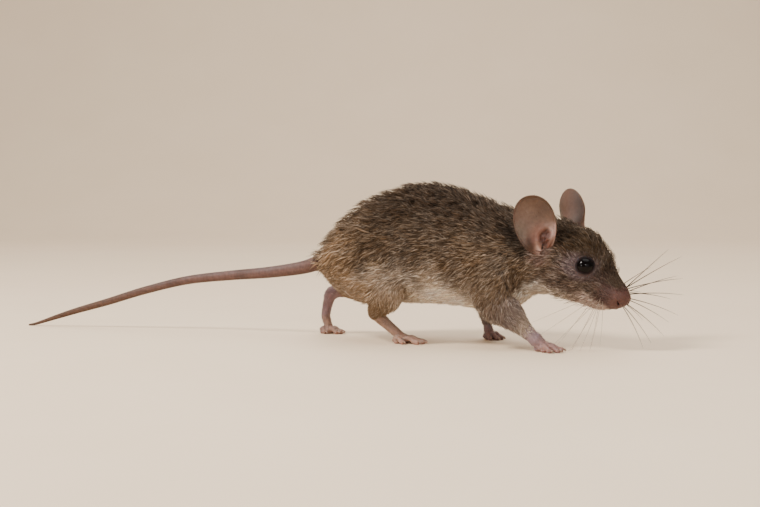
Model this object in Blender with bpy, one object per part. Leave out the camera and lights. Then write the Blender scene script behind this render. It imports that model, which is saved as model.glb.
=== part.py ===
"""A house mouse in life size, still in mid-stride, as the solids of its named body parts.

Frame: +X is the way the mouse heads, +Y its left side, +Z up, and the floor is z = 0.
The flesh is one blended body: lofted forms are joined by a remesh, smoothed, and then
parted by thin cuts. Tables and helpers work in millimetres; meshes are scaled at the end.
"""

import math

import bmesh
import bpy
import numpy as np
from mathutils import Matrix, Vector

MILLIMETRE = 0.001
GAP = 0.3  # clear width between neighbouring parts
FAR = 150.0  # past everything
OUTSIDE = 40.0  # past either flank
POLE = 0.04  # angle left open for the small end faces of a ball
EYE_SIDES = 12
FLESH_VOXEL = 0.6
FOOT_VOXEL = 0.2
FLESH_SMOOTHING = 6
FOOT_SMOOTHING = 2
FLESH_FACES = 3800
FOOT_FACES = 380
FLOOR_DROP = 0.12  # how far soles and the tail tip are pressed flat

# Head, before it is turned: distances run back from the nose tip along a dipping axis.
NOSE_TIP_X = 42.5
NOSE_TIP_Z = 11.2
HEAD_DIP = math.radians(25.0)
HEAD_YAW = math.radians(-10.0)  # the head looks a little to its right
HEAD_ROLL = 0.055  # rise of its left side for each unit across
TURN_CENTRE_X = 18.0
TURN_FROM_X = 13.0
TURN_TO_X = 23.0
WIDEST_HEAD = 0.47
# Distance back, profile above the axis, profile below it, half width.
HEAD_ROWS = [
    (21.5, 8.9, 9.8, 8.0),
    (18.3, 9.2, 8.2, 7.8),
    (15.0, 8.9, 6.9, 7.3),
    (11.8, 7.9, 6.0, 6.4),
    (9.0, 6.7, 5.6, 5.3),
    (6.45, 5.0, 5.5, 4.4),
    (4.3, 3.7, 5.1, 3.6),
    (2.5, 2.6, 3.8, 2.8),
    (1.1, 1.7, 2.6, 2.0),
    (0.2, 0.8, 1.4, 1.0),
]

# Dorsal x and z, ventral x and z, half width, from the tail root forward to the nape.
TRUNK_ROWS = [
    (-38.0, 17.4, -37.5, 14.6, 1.4),
    (-34.4, 18.5, -33.6, 15.0, 1.7),
    (-31.8, 20.1, -30.8, 14.2, 2.5),
    (-28.8, 23.4, -27.6, 11.2, 4.8),
    (-25.2, 27.3, -24.8, 9.4, 7.8),
    (-20.4, 30.9, -21.5, 8.6, 10.8),
    (-14.3, 33.8, -15.3, 8.8, 12.2),
    (-8.0, 35.7, -9.0, 8.7, 12.6),
    (-2.0, 35.7, -3.0, 8.7, 12.4),
    (3.5, 34.3, 3.0, 8.4, 11.8),
    (9.0, 32.4, 8.0, 7.6, 11.0),
    (14.2, 30.5, 12.8, 7.6, 10.2),
    (19.0, 29.3, 16.6, 9.2, 9.0),
]
WIDEST_TRUNK = 0.44

EYE_CENTRE = (34.2, 4.6, 18.7)
EYE_RADIUS = 2.0

EAR_CENTRE = (24.8, 9.5, 27.65)
EAR_AXIS = (-0.31, 0.06, 0.95)
EAR_FORWARD = math.radians(31.0)  # the open face looks outward and this much forward
EAR_HALF_LENGTH = 6.7
EAR_HALF_WIDTH = 4.6
EAR_EGG = 0.16
EAR_THICKNESS = 0.8
EAR_SIDES = 18
EAR_SHARES = (0.08, 0.32, 0.56, 0.78, 0.93)  # rings from the middle of the cup to its rim
EAR_DEPTH = 2.0
EAR_ROOT = (-0.5, -3.2, 4.0, 2.0)  # across, along, how far it runs inward, its spread
EAR_CANAL = (-1.2, -3.4, 1.5, 1.2)

# Limb paths from inside the trunk down: x, y, z, radius across, radius fore and aft.
LIMBS = {
    "hind_leg_right": [
        (-20.5, -5.0, 19.0, 4.6, 8.0),
        (-15.6, -8.0, 15.2, 4.4, 7.4),
        (-11.7, -9.6, 11.5, 3.4, 4.35),
        (-13.6, -8.8, 8.8, 2.4, 2.8),
        (-15.1, -8.0, 6.9, 1.9, 1.75),
        (-14.5, -7.4, 5.9, 1.65, 1.45),
        (-12.8, -6.9, 4.3, 1.45, 1.2),
        (-10.9, -6.4, 2.6, 1.45, 1.1),
    ],
    "hind_leg_left": [
        (-22.5, 5.0, 18.5, 4.6, 7.4),
        (-20.6, 7.8, 14.2, 4.2, 6.2),
        (-20.0, 8.6, 11.4, 3.2, 3.8),
        (-24.6, 8.1, 10.9, 2.3, 2.6),
        (-29.4, 7.3, 10.2, 1.7, 1.6),
        (-32.2, 7.0, 9.7, 1.6, 1.7),
        (-33.2, 7.0, 7.9, 1.4, 1.3),
        (-33.8, 7.0, 5.4, 1.3, 1.1),
        (-34.0, 7.0, 3.0, 1.35, 1.0),
    ],
    "fore_leg_right": [
        (13.0, -5.8, 19.5, 4.2, 6.6),
        (12.2, -8.6, 14.4, 3.8, 5.6),
        (13.9, -10.2, 10.2, 3.2, 4.6),
        (17.3, -10.6, 8.0, 2.4, 3.4),
        (20.2, -10.7, 5.3, 1.8, 2.2),
        (22.3, -10.7, 3.4, 1.5, 1.65),
        (23.8, -10.6, 2.1, 1.6, 1.5),
    ],
    "fore_leg_left": [
        (12.5, 5.8, 18.5, 4.2, 6.2),
        (9.4, 8.4, 13.4, 3.4, 4.6),
        (6.2, 9.1, 9.0, 2.6, 3.0),
        (5.8, 9.2, 6.0, 1.8, 1.9),
        (5.9, 9.1, 3.7, 1.35, 1.2),
        (6.3, 9.0, 1.9, 1.5, 1.0),
    ],
}

# Side outline of each leg's share of the flesh, x and z, and how near the midline it comes.
LEG_OUTLINES = {
    "hind_leg_right": (4.6, [
        (-19.5, -3.0), (-19.6, 5.5), (-24.6, 11.0), (-26.6, 18.0), (-22.5, 24.3),
        (-15.0, 24.5), (-8.8, 19.0), (-5.4, 12.0), (-6.4, 6.0), (-4.0, -3.0),
    ]),
    "hind_leg_left": (4.6, [
        (-38.0, -3.0), (-37.5, 12.3), (-31.6, 13.2), (-30.0, 18.5), (-24.6, 24.0),
        (-17.6, 22.3), (-13.8, 15.5), (-14.8, 8.6), (-21.0, 5.6), (-28.0, 5.4), (-29.0, -3.0),
    ]),
    "fore_leg_right": (5.4, [
        (10.0, -3.0), (8.4, 5.0), (5.4, 11.0), (5.6, 18.0), (10.2, 22.6),
        (15.6, 21.6), (18.6, 16.0), (22.4, 11.6), (26.0, 6.0), (29.0, -3.0),
    ]),
    "fore_leg_left": (5.4, [
        (1.0, -3.0), (0.6, 7.0), (-0.4, 12.0), (3.0, 19.0), (9.0, 22.3),
        (14.6, 19.8), (15.2, 13.0), (10.6, 6.5), (10.6, -3.0),
    ]),
}

# Toes: offset across, set back, length, splay in degrees, from the inner side outward.
HIND_TOES = [
    (-1.5, 1.7, 3.0, 22.0),
    (-0.95, 0.2, 5.0, 8.0),
    (0.0, 0.0, 5.5, 0.0),
    (0.95, 0.2, 5.1, -8.0),
    (1.5, 1.5, 3.3, -22.0),
]
FORE_TOES = [
    (-1.2, 0.4, 3.1, 26.0),
    (-0.45, 0.0, 3.9, 9.0),
    (0.45, 0.0, 3.9, -9.0),
    (1.2, 0.4, 3.1, -26.0),
]
TOE_RADIUS = 0.58
TOE_SIDES = 10
# Share of a toe's length, height of its centre line, share of its radius.
TOE_PATH = [
    (0.0, 1.0, 1.1),
    (0.35, 1.15, 1.05),
    (0.65, 0.95, 0.95),
    (0.88, 0.55, 0.95),
    (1.0, 0.42, 0.7),
]

# Per foot: its leg, the path row where it begins, ball of the foot, heading, toes, toe scale.
FEET = {
    "hind_foot_right": ("hind_leg_right", 5, (-9.2, -6.2, 1.2), -4.0, HIND_TOES, 1.0),
    "hind_foot_left": ("hind_leg_left", 6, (-33.1, 7.0, 1.2), -8.0, HIND_TOES, 0.67),
    "fore_foot_right": ("fore_leg_right", 5, (25.3, -10.5, 1.1), -6.0, FORE_TOES, 1.0),
    "fore_foot_left": ("fore_leg_left", 4, (6.7, 9.0, 1.1), -22.0, FORE_TOES, 0.8),
}
BALL_SIZE = (1.7, 1.9, 1.15)  # fore and aft, across, up, as half sizes
BALL_SHRINK = 0.4  # share of the ball that follows the toe scale
INSTEP_END = (1.5, 1.0)  # half width and half height where the instep meets the ball
ANKLE_CUT = (4.8, 3.0)  # depth and half width of the block that takes off a leg's end

# Planes that part head, neck, trunk and nose: a point and the direction toward the nose.
NECK_PLANE = ((13.2, 0.0, 20.0), (0.99, 0.0, 0.10))
HEAD_PLANE = ((20.2, 0.0, 21.0), (0.95, 0.05, -0.31))
NOSE_BACK = 2.7

# Tail centre line from the body to its tip: x, y, z, radius.
TAIL_ROWS = [
    (-33.4, 0.0, 16.8, 1.65),
    (-37.5, 0.0, 15.75, 1.48),
    (-46.0, 0.0, 14.7, 1.36),
    (-55.9, -0.1, 13.75, 1.2),
    (-67.5, -0.4, 12.3, 1.06),
    (-79.1, -0.9, 9.5, 0.98),
    (-89.0, -1.6, 6.5, 0.9),
    (-97.3, -2.3, 4.15, 0.77),
    (-102.6, -3.0, 2.5, 0.62),
    (-106.4, -3.5, 1.25, 0.46),
    (-108.8, -3.8, 0.5, 0.36),
    (-110.6, -4.0, 0.16, 0.26),
]
TAIL_PARTS = ("tail_base", "tail_middle", "tail_end", "tail_tip")
TAIL_SPLITS = (0.0, 0.24, 0.5, 0.76, 1.0)
TAIL_SIDES = 10
TAIL_RINGS = 8

# Colour and roughness of each finish.
FINISHES = {
    "coat_body": ((0.16, 0.115, 0.075), 0.8),
    "coat_head": ((0.18, 0.13, 0.09), 0.8),
    "skin_pink": ((0.55, 0.33, 0.29), 0.6),
    "skin_ear": ((0.36, 0.21, 0.17), 0.6),
    "skin_tail": ((0.34, 0.21, 0.18), 0.6),
    "eye": ((0.006, 0.005, 0.005), 0.08),
}
# Which finish a part takes: the first entry whose word is in its name.
FINISH_BY_WORD = (
    ("foot", "skin_pink"), ("nose", "skin_pink"), ("ear", "skin_ear"), ("tail", "skin_tail"),
    ("eye", "eye"), ("head", "coat_head"), ("", "coat_body"),
)


def smoothed(rows, steps):
    """Points of a curve through every row, with the same columns."""
    rows = np.asarray(rows, float)
    padded = np.vstack([2 * rows[0] - rows[1], rows, 2 * rows[-1] - rows[-2]])
    place = np.linspace(0, len(rows) - 1, (len(rows) - 1) * steps + 1)
    start = np.minimum(place.astype(int), len(rows) - 2)
    t = (place - start)[:, None]
    a, b, c, d = (padded[start + k] for k in range(4))
    return 0.5 * (2 * b + (c - a) * t + (2 * a - 5 * b + 4 * c - d) * t**2
                  + (3 * b - a - 3 * c + d) * t**3)


def turned(points):
    """Turn whatever lies forward of the nape to the side the head looks."""
    points = np.asarray(points, float).reshape(-1, 3)
    share = np.clip((points[:, 0] - TURN_FROM_X) / (TURN_TO_X - TURN_FROM_X), 0, 1)
    share = share * share * (3 - 2 * share)
    angle = HEAD_YAW * share
    x = points[:, 0] - TURN_CENTRE_X
    y = points[:, 1]
    return np.column_stack([
        TURN_CENTRE_X + x * np.cos(angle) - y * np.sin(angle),
        x * np.sin(angle) + y * np.cos(angle),
        points[:, 2] + HEAD_ROLL * share * y,
    ])


def new_object(name, points, faces):
    """A mesh object of the given points (mm) and faces."""
    mesh = bpy.data.meshes.new(name)
    mesh.from_pydata([tuple(p) for p in points], [], faces)
    item = bpy.data.objects.new(name, mesh)
    bpy.context.scene.collection.objects.link(item)
    tidy = bmesh.new()
    tidy.from_mesh(mesh)
    bmesh.ops.recalc_face_normals(tidy, faces=tidy.faces)
    tidy.to_mesh(mesh)
    tidy.free()
    return item


def loft(name, rings):
    """A closed skin over rings of equal count, with one face over each end."""
    rings = np.asarray(rings, float)
    rows, count = rings.shape[:2]
    faces = [list(range(count)), list(range((rows - 1) * count, rows * count))]
    for i in range(rows - 1):
        for j in range(count):
            k = (j + 1) % count
            faces.append((i * count + j, i * count + k, (i + 1) * count + k, (i + 1) * count + j))
    return new_object(name, rings.reshape(-1, 3), faces)


def body_rings(count=32):
    """Rings from the tail root to the nose, each from a dorsal and a ventral point."""
    along = np.array([math.cos(HEAD_DIP), -math.sin(HEAD_DIP)])
    up = np.array([math.sin(HEAD_DIP), math.cos(HEAD_DIP)])
    rows = [row + (WIDEST_TRUNK,) for row in TRUNK_ROWS]
    for back, above, below, half in HEAD_ROWS:
        middle = np.array([NOSE_TIP_X, NOSE_TIP_Z]) - back * along
        top = middle + above * up
        bottom = middle - below * up
        rows.append((top[0], top[1], bottom[0], bottom[1], half, WIDEST_HEAD))
    angle = np.linspace(0, 2 * math.pi, count, endpoint=False)
    rings = []
    for x1, z1, x2, z2, half, widest in smoothed(rows, 2):
        lift = np.where(np.cos(angle) > 0, 1 - widest, widest) * np.cos(angle)
        share = widest + lift
        ring = np.column_stack([
            x2 + share * (x1 - x2), half * np.sin(angle), z2 + share * (z1 - z2)])
        rings.append(turned(ring))
    return rings


def tube_rings(rows, count=16):
    """Rings square to a path of x, y, z, radius across, radius fore and aft."""
    rows = np.asarray(rows, float)
    path = rows[:, :3]
    ahead = np.gradient(path, axis=0)
    ahead /= np.linalg.norm(ahead, axis=1)[:, None]
    angle = np.linspace(0, 2 * math.pi, count, endpoint=False)
    rings = []
    for centre, way, row in zip(path, ahead, rows):
        across = np.array([0.0, 1.0, 0.0])
        across -= way * (across @ way)
        across /= np.linalg.norm(across)
        fore = np.cross(way, across)
        rings.append(centre + np.outer(np.cos(angle) * row[3], across)
                     + np.outer(np.sin(angle) * row[4], fore))
    return rings


def ball(name, centre, radii, count=16):
    """An ellipsoid with its axes along x, y and z."""
    turn = np.linspace(0, 2 * math.pi, count, endpoint=False)
    rings = []
    for tilt in np.linspace(POLE, math.pi - POLE, count // 2 + 1):
        rings.append(np.column_stack([
            centre[0] + radii[0] * math.sin(tilt) * np.cos(turn),
            centre[1] + radii[1] * math.sin(tilt) * np.sin(turn),
            np.full(count, centre[2] + radii[2] * math.cos(tilt))]))
    return loft(name, rings)


def half_space(name, point, way, reach=FAR, side=FAR):
    """A block whose near face holds the point and which reaches on in the given way."""
    way = Vector(way).normalized()
    turn = way.to_track_quat("Z", "Y").to_matrix().to_4x4()
    corners = []
    for x in (-side, side):
        for y in (-side, side):
            for z in (0.0, reach):
                corners.append(Matrix.Translation(Vector(point)) @ turn @ Vector((x, y, z)))
    faces = [(0, 1, 3, 2), (4, 6, 7, 5), (0, 4, 5, 1), (2, 3, 7, 6), (0, 2, 6, 4), (1, 5, 7, 3)]
    return new_object(name, corners, faces)


def prism(name, outline, grow, inner, outer):
    """A side outline (x, z) widened by an amount and drawn across from inner to outer y."""
    curve = smoothed(outline, 4)
    step = np.roll(curve, -1, axis=0) - np.roll(curve, 1, axis=0)
    step /= np.linalg.norm(step, axis=1)[:, None]
    area = np.sum(curve[:, 0] * np.roll(curve[:, 1], -1) - np.roll(curve[:, 0], -1) * curve[:, 1])
    normal = np.column_stack([step[:, 1], -step[:, 0]]) * (1 if area > 0 else -1)
    curve = curve + grow * normal
    rings = []
    for y in (inner, outer):
        rings.append(np.column_stack([curve[:, 0], np.full(len(curve), y), curve[:, 1]]))
    return loft(name, rings)


def bake(item):
    """Replace an object's mesh by what its modifiers make of it."""
    result = bpy.data.meshes.new_from_object(
        item.evaluated_get(bpy.context.evaluated_depsgraph_get()))
    item.modifiers.clear()
    item.data = result
    return item


def combine(item, other, operation):
    """Apply an exact boolean and drop the second object."""
    step = item.modifiers.new("combine", "BOOLEAN")
    step.operation = operation
    step.solver = "EXACT"
    step.object = other
    bake(item)
    bpy.data.objects.remove(other)
    return item


def joined(name, items):
    """One object that holds the meshes of many."""
    whole = bmesh.new()
    for item in items:
        whole.from_mesh(item.data)
        bpy.data.objects.remove(item)
    mesh = bpy.data.meshes.new(name)
    whole.to_mesh(mesh)
    whole.free()
    result = bpy.data.objects.new(name, mesh)
    bpy.context.scene.collection.objects.link(result)
    return result


def blended(item, voxel, smoothing, faces):
    """Fuse overlapping forms into one skin, relax it and thin its triangles."""
    fuse = item.modifiers.new("fuse", "REMESH")
    fuse.mode = "VOXEL"
    fuse.voxel_size = voxel
    relax = item.modifiers.new("relax", "SMOOTH")
    relax.factor = 0.5
    relax.iterations = smoothing
    item.modifiers.new("triangles", "TRIANGULATE")
    bake(item)
    thin = item.modifiers.new("thin", "DECIMATE")
    thin.ratio = faces / len(item.data.polygons)
    return bake(item)


def copied(item, name):
    """A second object with its own copy of the mesh."""
    twin = bpy.data.objects.new(name, item.data.copy())
    bpy.context.scene.collection.objects.link(twin)
    return twin


def split(item, name, point, way):
    """Part an object at a plane; the piece on the far side takes the new name."""
    way = Vector(way).normalized()
    point = Vector(point)
    front = copied(item, name)
    combine(front, half_space("cut", point + way * GAP / 2, way), "INTERSECT")
    combine(item, half_space("cut", point - way * GAP / 2, -way), "INTERSECT")
    return front


def make_flesh():
    """Trunk, neck, head and the limbs down to just past wrist and ankle, as one skin."""
    forms = [loft("body", body_rings())]
    for leg, first, *_ in FEET.values():
        forms.append(loft(leg, tube_rings(smoothed(LIMBS[leg][:first + 2], 3))))
    return blended(joined("flesh", forms), FLESH_VOXEL, FLESH_SMOOTHING, FLESH_FACES)


def ankle(leg, first):
    """Where a foot begins on its leg's path, and the way the path runs on there."""
    rows = np.asarray(LIMBS[leg], float)
    way = rows[first + 1, :3] - rows[first - 1, :3]
    return Vector(rows[first, :3]), Vector(way).normalized()


def make_foot(name):
    """A foot with a flat sole: the end of its leg's path, a ball and its toes."""
    leg, first, centre, heading, toes, scale = FEET[name]
    forms = [loft("instep", tube_rings(smoothed(LIMBS[leg][first - 1:] + [
        (*centre, INSTEP_END[0] * scale, INSTEP_END[1])], 3)))]
    size = [half * (1 - BALL_SHRINK + BALL_SHRINK * scale) for half in BALL_SIZE]
    forms.append(ball("ball", (centre[0], centre[1], size[2] - FLOOR_DROP), size))
    outer = -1 if centre[1] < 0 else 1
    aim = math.radians(heading)
    ahead = np.array([math.cos(aim), math.sin(aim)])
    aside = np.array([-math.sin(aim), math.cos(aim)]) * outer
    for across, back, length, splay in toes:
        turn = math.radians(heading - outer * splay)
        way = np.array([math.cos(turn), math.sin(turn)])
        root = np.array(centre[:2]) - back * ahead + across * scale * aside
        path = []
        for share, height, width in TOE_PATH:
            spot = root + way * length * scale * share
            path.append((*spot, height, TOE_RADIUS * width, TOE_RADIUS * width))
        forms.append(loft("toe", tube_rings(smoothed(path, 2), TOE_SIDES)))
    foot = blended(joined(name, forms), FOOT_VOXEL, FOOT_SMOOTHING, FOOT_FACES)
    point, way = ankle(leg, first)
    combine(foot, half_space("cut", point + way * GAP / 2, way), "INTERSECT")
    return combine(foot, half_space("floor", (0, 0, 0), (0, 0, 1)), "INTERSECT")


def make_ear(name, side, flesh):
    """A thin cupped ear whose root runs in to the side of the uncut flesh."""
    axis = Vector(EAR_AXIS)
    axis.y *= side
    axis.normalize()
    face = Vector((math.sin(EAR_FORWARD), side * math.cos(EAR_FORWARD), 0.0))
    face = (face - axis * face.dot(axis)).normalized()
    across = axis.cross(face) * side
    centre = Vector(EAR_CENTRE)
    centre.y *= side
    basis = np.array([across, axis, face])
    angle = np.linspace(0, 2 * math.pi, EAR_SIDES, endpoint=False)
    rim = np.column_stack([
        EAR_HALF_WIDTH * np.sin(angle) * (1 + EAR_EGG * np.cos(angle)),
        EAR_HALF_LENGTH * np.cos(angle)])

    def sheet(shares, lift):
        rows = []
        for share in shares:
            flat = rim * share
            root = np.exp(-((flat[:, 0] - EAR_ROOT[0]) ** 2 + (flat[:, 1] - EAR_ROOT[1]) ** 2)
                          / (2 * EAR_ROOT[3] ** 2))
            canal = np.exp(-((flat[:, 0] - EAR_CANAL[0]) ** 2 + (flat[:, 1] - EAR_CANAL[1]) ** 2)
                           / (2 * EAR_CANAL[3] ** 2))
            depth = EAR_DEPTH * (1 - share**2)
            outer = depth + EAR_THICKNESS / 2 + EAR_ROOT[2] * root
            inner = depth - EAR_THICKNESS / 2 + EAR_CANAL[2] * canal
            rows.append(np.column_stack([flat, -(outer if lift else inner)]))
        return rows

    edge = np.column_stack([rim, np.zeros(len(rim))])
    rows = sheet(EAR_SHARES, False) + [edge] + sheet(EAR_SHARES[::-1], True)
    rings = [turned(np.asarray(centre) + row @ basis) for row in rows]
    ear = loft(name, rings)
    wide = copied(flesh, "wide")
    grow = wide.modifiers.new("grow", "DISPLACE")
    grow.strength = GAP
    grow.mid_level = 0.0
    bake(wide)
    combine(ear, wide, "DIFFERENCE")
    return biggest(ear)


def biggest(item):
    """Keep only an object's largest connected piece."""
    mesh = bmesh.new()
    mesh.from_mesh(item.data)
    left = set(mesh.verts)
    groups = []
    while left:
        stack = [left.pop()]
        group = set(stack)
        while stack:
            for edge in stack.pop().link_edges:
                for vert in edge.verts:
                    if vert in left:
                        left.discard(vert)
                        group.add(vert)
                        stack.append(vert)
        groups.append(group)
    keep = max(groups, key=len)
    drop = [v for group in groups if group is not keep for v in group]
    bmesh.ops.delete(mesh, geom=drop, context="VERTS")
    mesh.to_mesh(item.data)
    mesh.free()
    return item


def make_tail():
    """The tail in lengths, each a closed loft, the last one flat where it meets the floor."""
    rows = np.array([row[:4] + (row[3],) for row in TAIL_ROWS])
    fine = smoothed(rows, 6)
    reach = np.concatenate([[0], np.cumsum(np.linalg.norm(np.diff(fine[:, :3], axis=0), axis=1))])
    pieces = {}
    for name, start, end in zip(TAIL_PARTS, TAIL_SPLITS, TAIL_SPLITS[1:]):
        near = start * reach[-1] + GAP / 2
        far = end * reach[-1] - (GAP / 2 if end < 1 else 0.0)
        place = np.linspace(near, far, TAIL_RINGS)
        part = np.column_stack([np.interp(place, reach, fine[:, k]) for k in range(5)])
        item = loft(name, tube_rings(part, TAIL_SIDES))
        if end == 1:
            combine(item, half_space("floor", (0, 0, 0), (0, 0, 1)), "INTERSECT")
        pieces[name] = item
    return pieces


def paint(item):
    """Give a part the material that its name calls for."""
    finish = next(value for word, value in FINISH_BY_WORD if word in item.name)
    colour, roughness = FINISHES[finish]
    material = bpy.data.materials.new(finish + "_" + item.name)
    material.use_nodes = True
    shader = material.node_tree.nodes["Principled BSDF"]
    shader.inputs["Base Color"].default_value = (*colour, 1.0)
    shader.inputs["Roughness"].default_value = roughness
    shader.inputs["Metallic"].default_value = 0.0
    material.diffuse_color = (*colour, 1.0)
    item.data.materials.clear()
    item.data.materials.append(material)


def main():
    for item in list(bpy.data.objects):
        bpy.data.objects.remove(item)
    parts = {}
    flesh = make_flesh()
    for label, side in (("right", -1), ("left", 1)):
        parts["ear_" + label] = make_ear("ear_" + label, side, flesh)
    for name, (inner, outline) in LEG_OUTLINES.items():
        side = -1 if name.endswith("right") else 1
        leg = copied(flesh, name)
        combine(leg, prism("share", outline, 0.0, side * inner, side * OUTSIDE), "INTERSECT")
        around = prism("share", outline, GAP, side * (inner - GAP), side * OUTSIDE)
        combine(flesh, around, "DIFFERENCE")
        parts[name] = leg
    for name, (leg, first, *_) in FEET.items():
        point, way = ankle(leg, first)
        cut = half_space("cut", point - way * GAP / 2, way, *ANKLE_CUT)
        combine(parts[leg], cut, "DIFFERENCE")
        biggest(parts[leg])
        parts[name] = make_foot(name)
    flesh.name = "trunk"
    parts["trunk"] = flesh
    front = split(flesh, "neck", *NECK_PLANE)
    parts["neck"] = front
    head = split(front, "head", *HEAD_PLANE)
    tail_point = Vector(TAIL_ROWS[0][:3])
    tail_way = Vector(TAIL_ROWS[1][:3]) - tail_point
    combine(flesh, half_space("cut", tail_point - tail_way.normalized() * GAP / 2, tail_way),
            "DIFFERENCE")
    for label, side in (("right", -1), ("left", 1)):
        centre = turned((EYE_CENTRE[0], side * EYE_CENTRE[1], EYE_CENTRE[2]))[0]
        parts["eye_" + label] = ball("eye_" + label, centre, (EYE_RADIUS,) * 3, EYE_SIDES)
        combine(head, ball("socket", centre, (EYE_RADIUS + GAP,) * 3, EYE_SIDES), "DIFFERENCE")
    tip = np.array([NOSE_TIP_X, 0.0, NOSE_TIP_Z])
    along = np.array([math.cos(HEAD_DIP), 0.0, -math.sin(HEAD_DIP)])
    behind = turned(tip - NOSE_BACK * along)[0]
    parts["nose"] = split(head, "nose", behind, turned(tip)[0] - behind)
    parts["head"] = head
    parts.update(make_tail())

    everything = np.vstack([
        [tuple(v.co) for v in item.data.vertices] for item in parts.values()])
    low, high = everything.min(0), everything.max(0)
    shift = Vector((-(low[0] + high[0]) / 2, -(low[1] + high[1]) / 2, 0.0))
    for item in parts.values():
        item.data.transform(Matrix.Scale(MILLIMETRE, 4) @ Matrix.Translation(shift))
        paint(item)


main()
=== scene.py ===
import math

import bpy
import numpy as np
from mathutils import Matrix, Vector


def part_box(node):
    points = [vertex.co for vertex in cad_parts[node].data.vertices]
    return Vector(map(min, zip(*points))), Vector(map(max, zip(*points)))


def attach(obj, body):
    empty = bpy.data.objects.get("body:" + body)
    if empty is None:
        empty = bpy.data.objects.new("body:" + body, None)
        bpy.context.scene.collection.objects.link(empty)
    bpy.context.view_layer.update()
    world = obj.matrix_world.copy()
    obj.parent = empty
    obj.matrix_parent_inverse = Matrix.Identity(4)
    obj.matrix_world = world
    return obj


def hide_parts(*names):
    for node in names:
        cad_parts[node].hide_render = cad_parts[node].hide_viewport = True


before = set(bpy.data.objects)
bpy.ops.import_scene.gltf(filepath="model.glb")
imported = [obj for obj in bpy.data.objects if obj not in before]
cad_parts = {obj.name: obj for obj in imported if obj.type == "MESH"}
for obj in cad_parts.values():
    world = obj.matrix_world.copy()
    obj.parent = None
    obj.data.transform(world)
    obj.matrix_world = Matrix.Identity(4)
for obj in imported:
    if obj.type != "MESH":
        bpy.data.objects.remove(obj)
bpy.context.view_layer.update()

# A house mouse in life size. Shapes are worked out in millimetres in a working frame whose
# x runs forward, y to the mouse's left and z up from the floor; settle() moves each finished
# mesh into the frame of the solids, in metres.

random = np.random.default_rng(7)

body = {
    "trunk": [  # dorsal x, z, ventral x, z, half width, from the tail root to the nape
        (-38.0, 17.4, -37.5, 14.6, 1.4), (-34.4, 18.5, -33.6, 15.0, 1.7),
        (-31.8, 20.1, -30.8, 14.2, 2.5), (-28.8, 23.4, -27.6, 11.2, 4.8),
        (-25.2, 27.3, -24.8, 9.4, 7.8), (-20.4, 30.9, -21.5, 8.6, 10.8),
        (-14.3, 33.8, -15.3, 8.8, 12.2), (-8.0, 35.7, -9.0, 8.7, 12.6),
        (-2.0, 35.7, -3.0, 8.7, 12.4), (3.5, 34.3, 3.0, 8.4, 11.8),
        (9.0, 32.4, 8.0, 7.6, 11.0), (14.2, 30.5, 12.8, 7.6, 10.2),
        (19.0, 29.3, 16.6, 9.2, 9.0),
    ],
    "head": [  # distance back from the nose tip, profile above, profile below, half width
        (21.5, 8.9, 9.8, 8.0), (18.3, 9.2, 8.2, 7.8), (15.0, 8.9, 6.9, 7.3),
        (11.8, 7.9, 6.0, 6.4), (9.0, 6.7, 5.6, 5.3), (6.45, 5.0, 5.5, 4.4),
        (4.3, 3.7, 5.1, 3.6), (2.5, 2.6, 3.8, 2.8), (1.1, 1.7, 2.6, 2.0), (0.2, 0.8, 1.4, 1.0),
    ],
    "noseTip": (42.5, 11.2),
    "dip": math.radians(25.0),
    "yaw": -10.0,        # degrees
    "roll": 0.055,
    "turnCentre": 18.0,
    "turnFrom": 13.0,
    "turnTo": 23.0,
    "widestTrunk": 0.44,
    "widestHead": 0.47,
    "coatDepth": 0.95,   # skin lies this far inside the solids on the trunk
    "faceDepth": 0.45,   # and this far on the head
    "count": 96,         # points round the trunk, and rings along it
    "rings": 150,
    "limbCount": 24,
    "limbRings": 44,
    "voxel": 0.42,
    "smoothing": 6,
    "creaseSteps": 40,
    "limbReach": 1.6,    # what lies within this many radii of a limb's path belongs to it
    "earFoot": ((25.4, 7.7, 21.4), (28.7, 6.5, 26.0)),
    # the line behind and below an ear where shadow is painted on the fur
    "earShadowLine": ((16.8, 6.6, 26.2), (21.8, 7.4, 22.6)),
}

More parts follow.
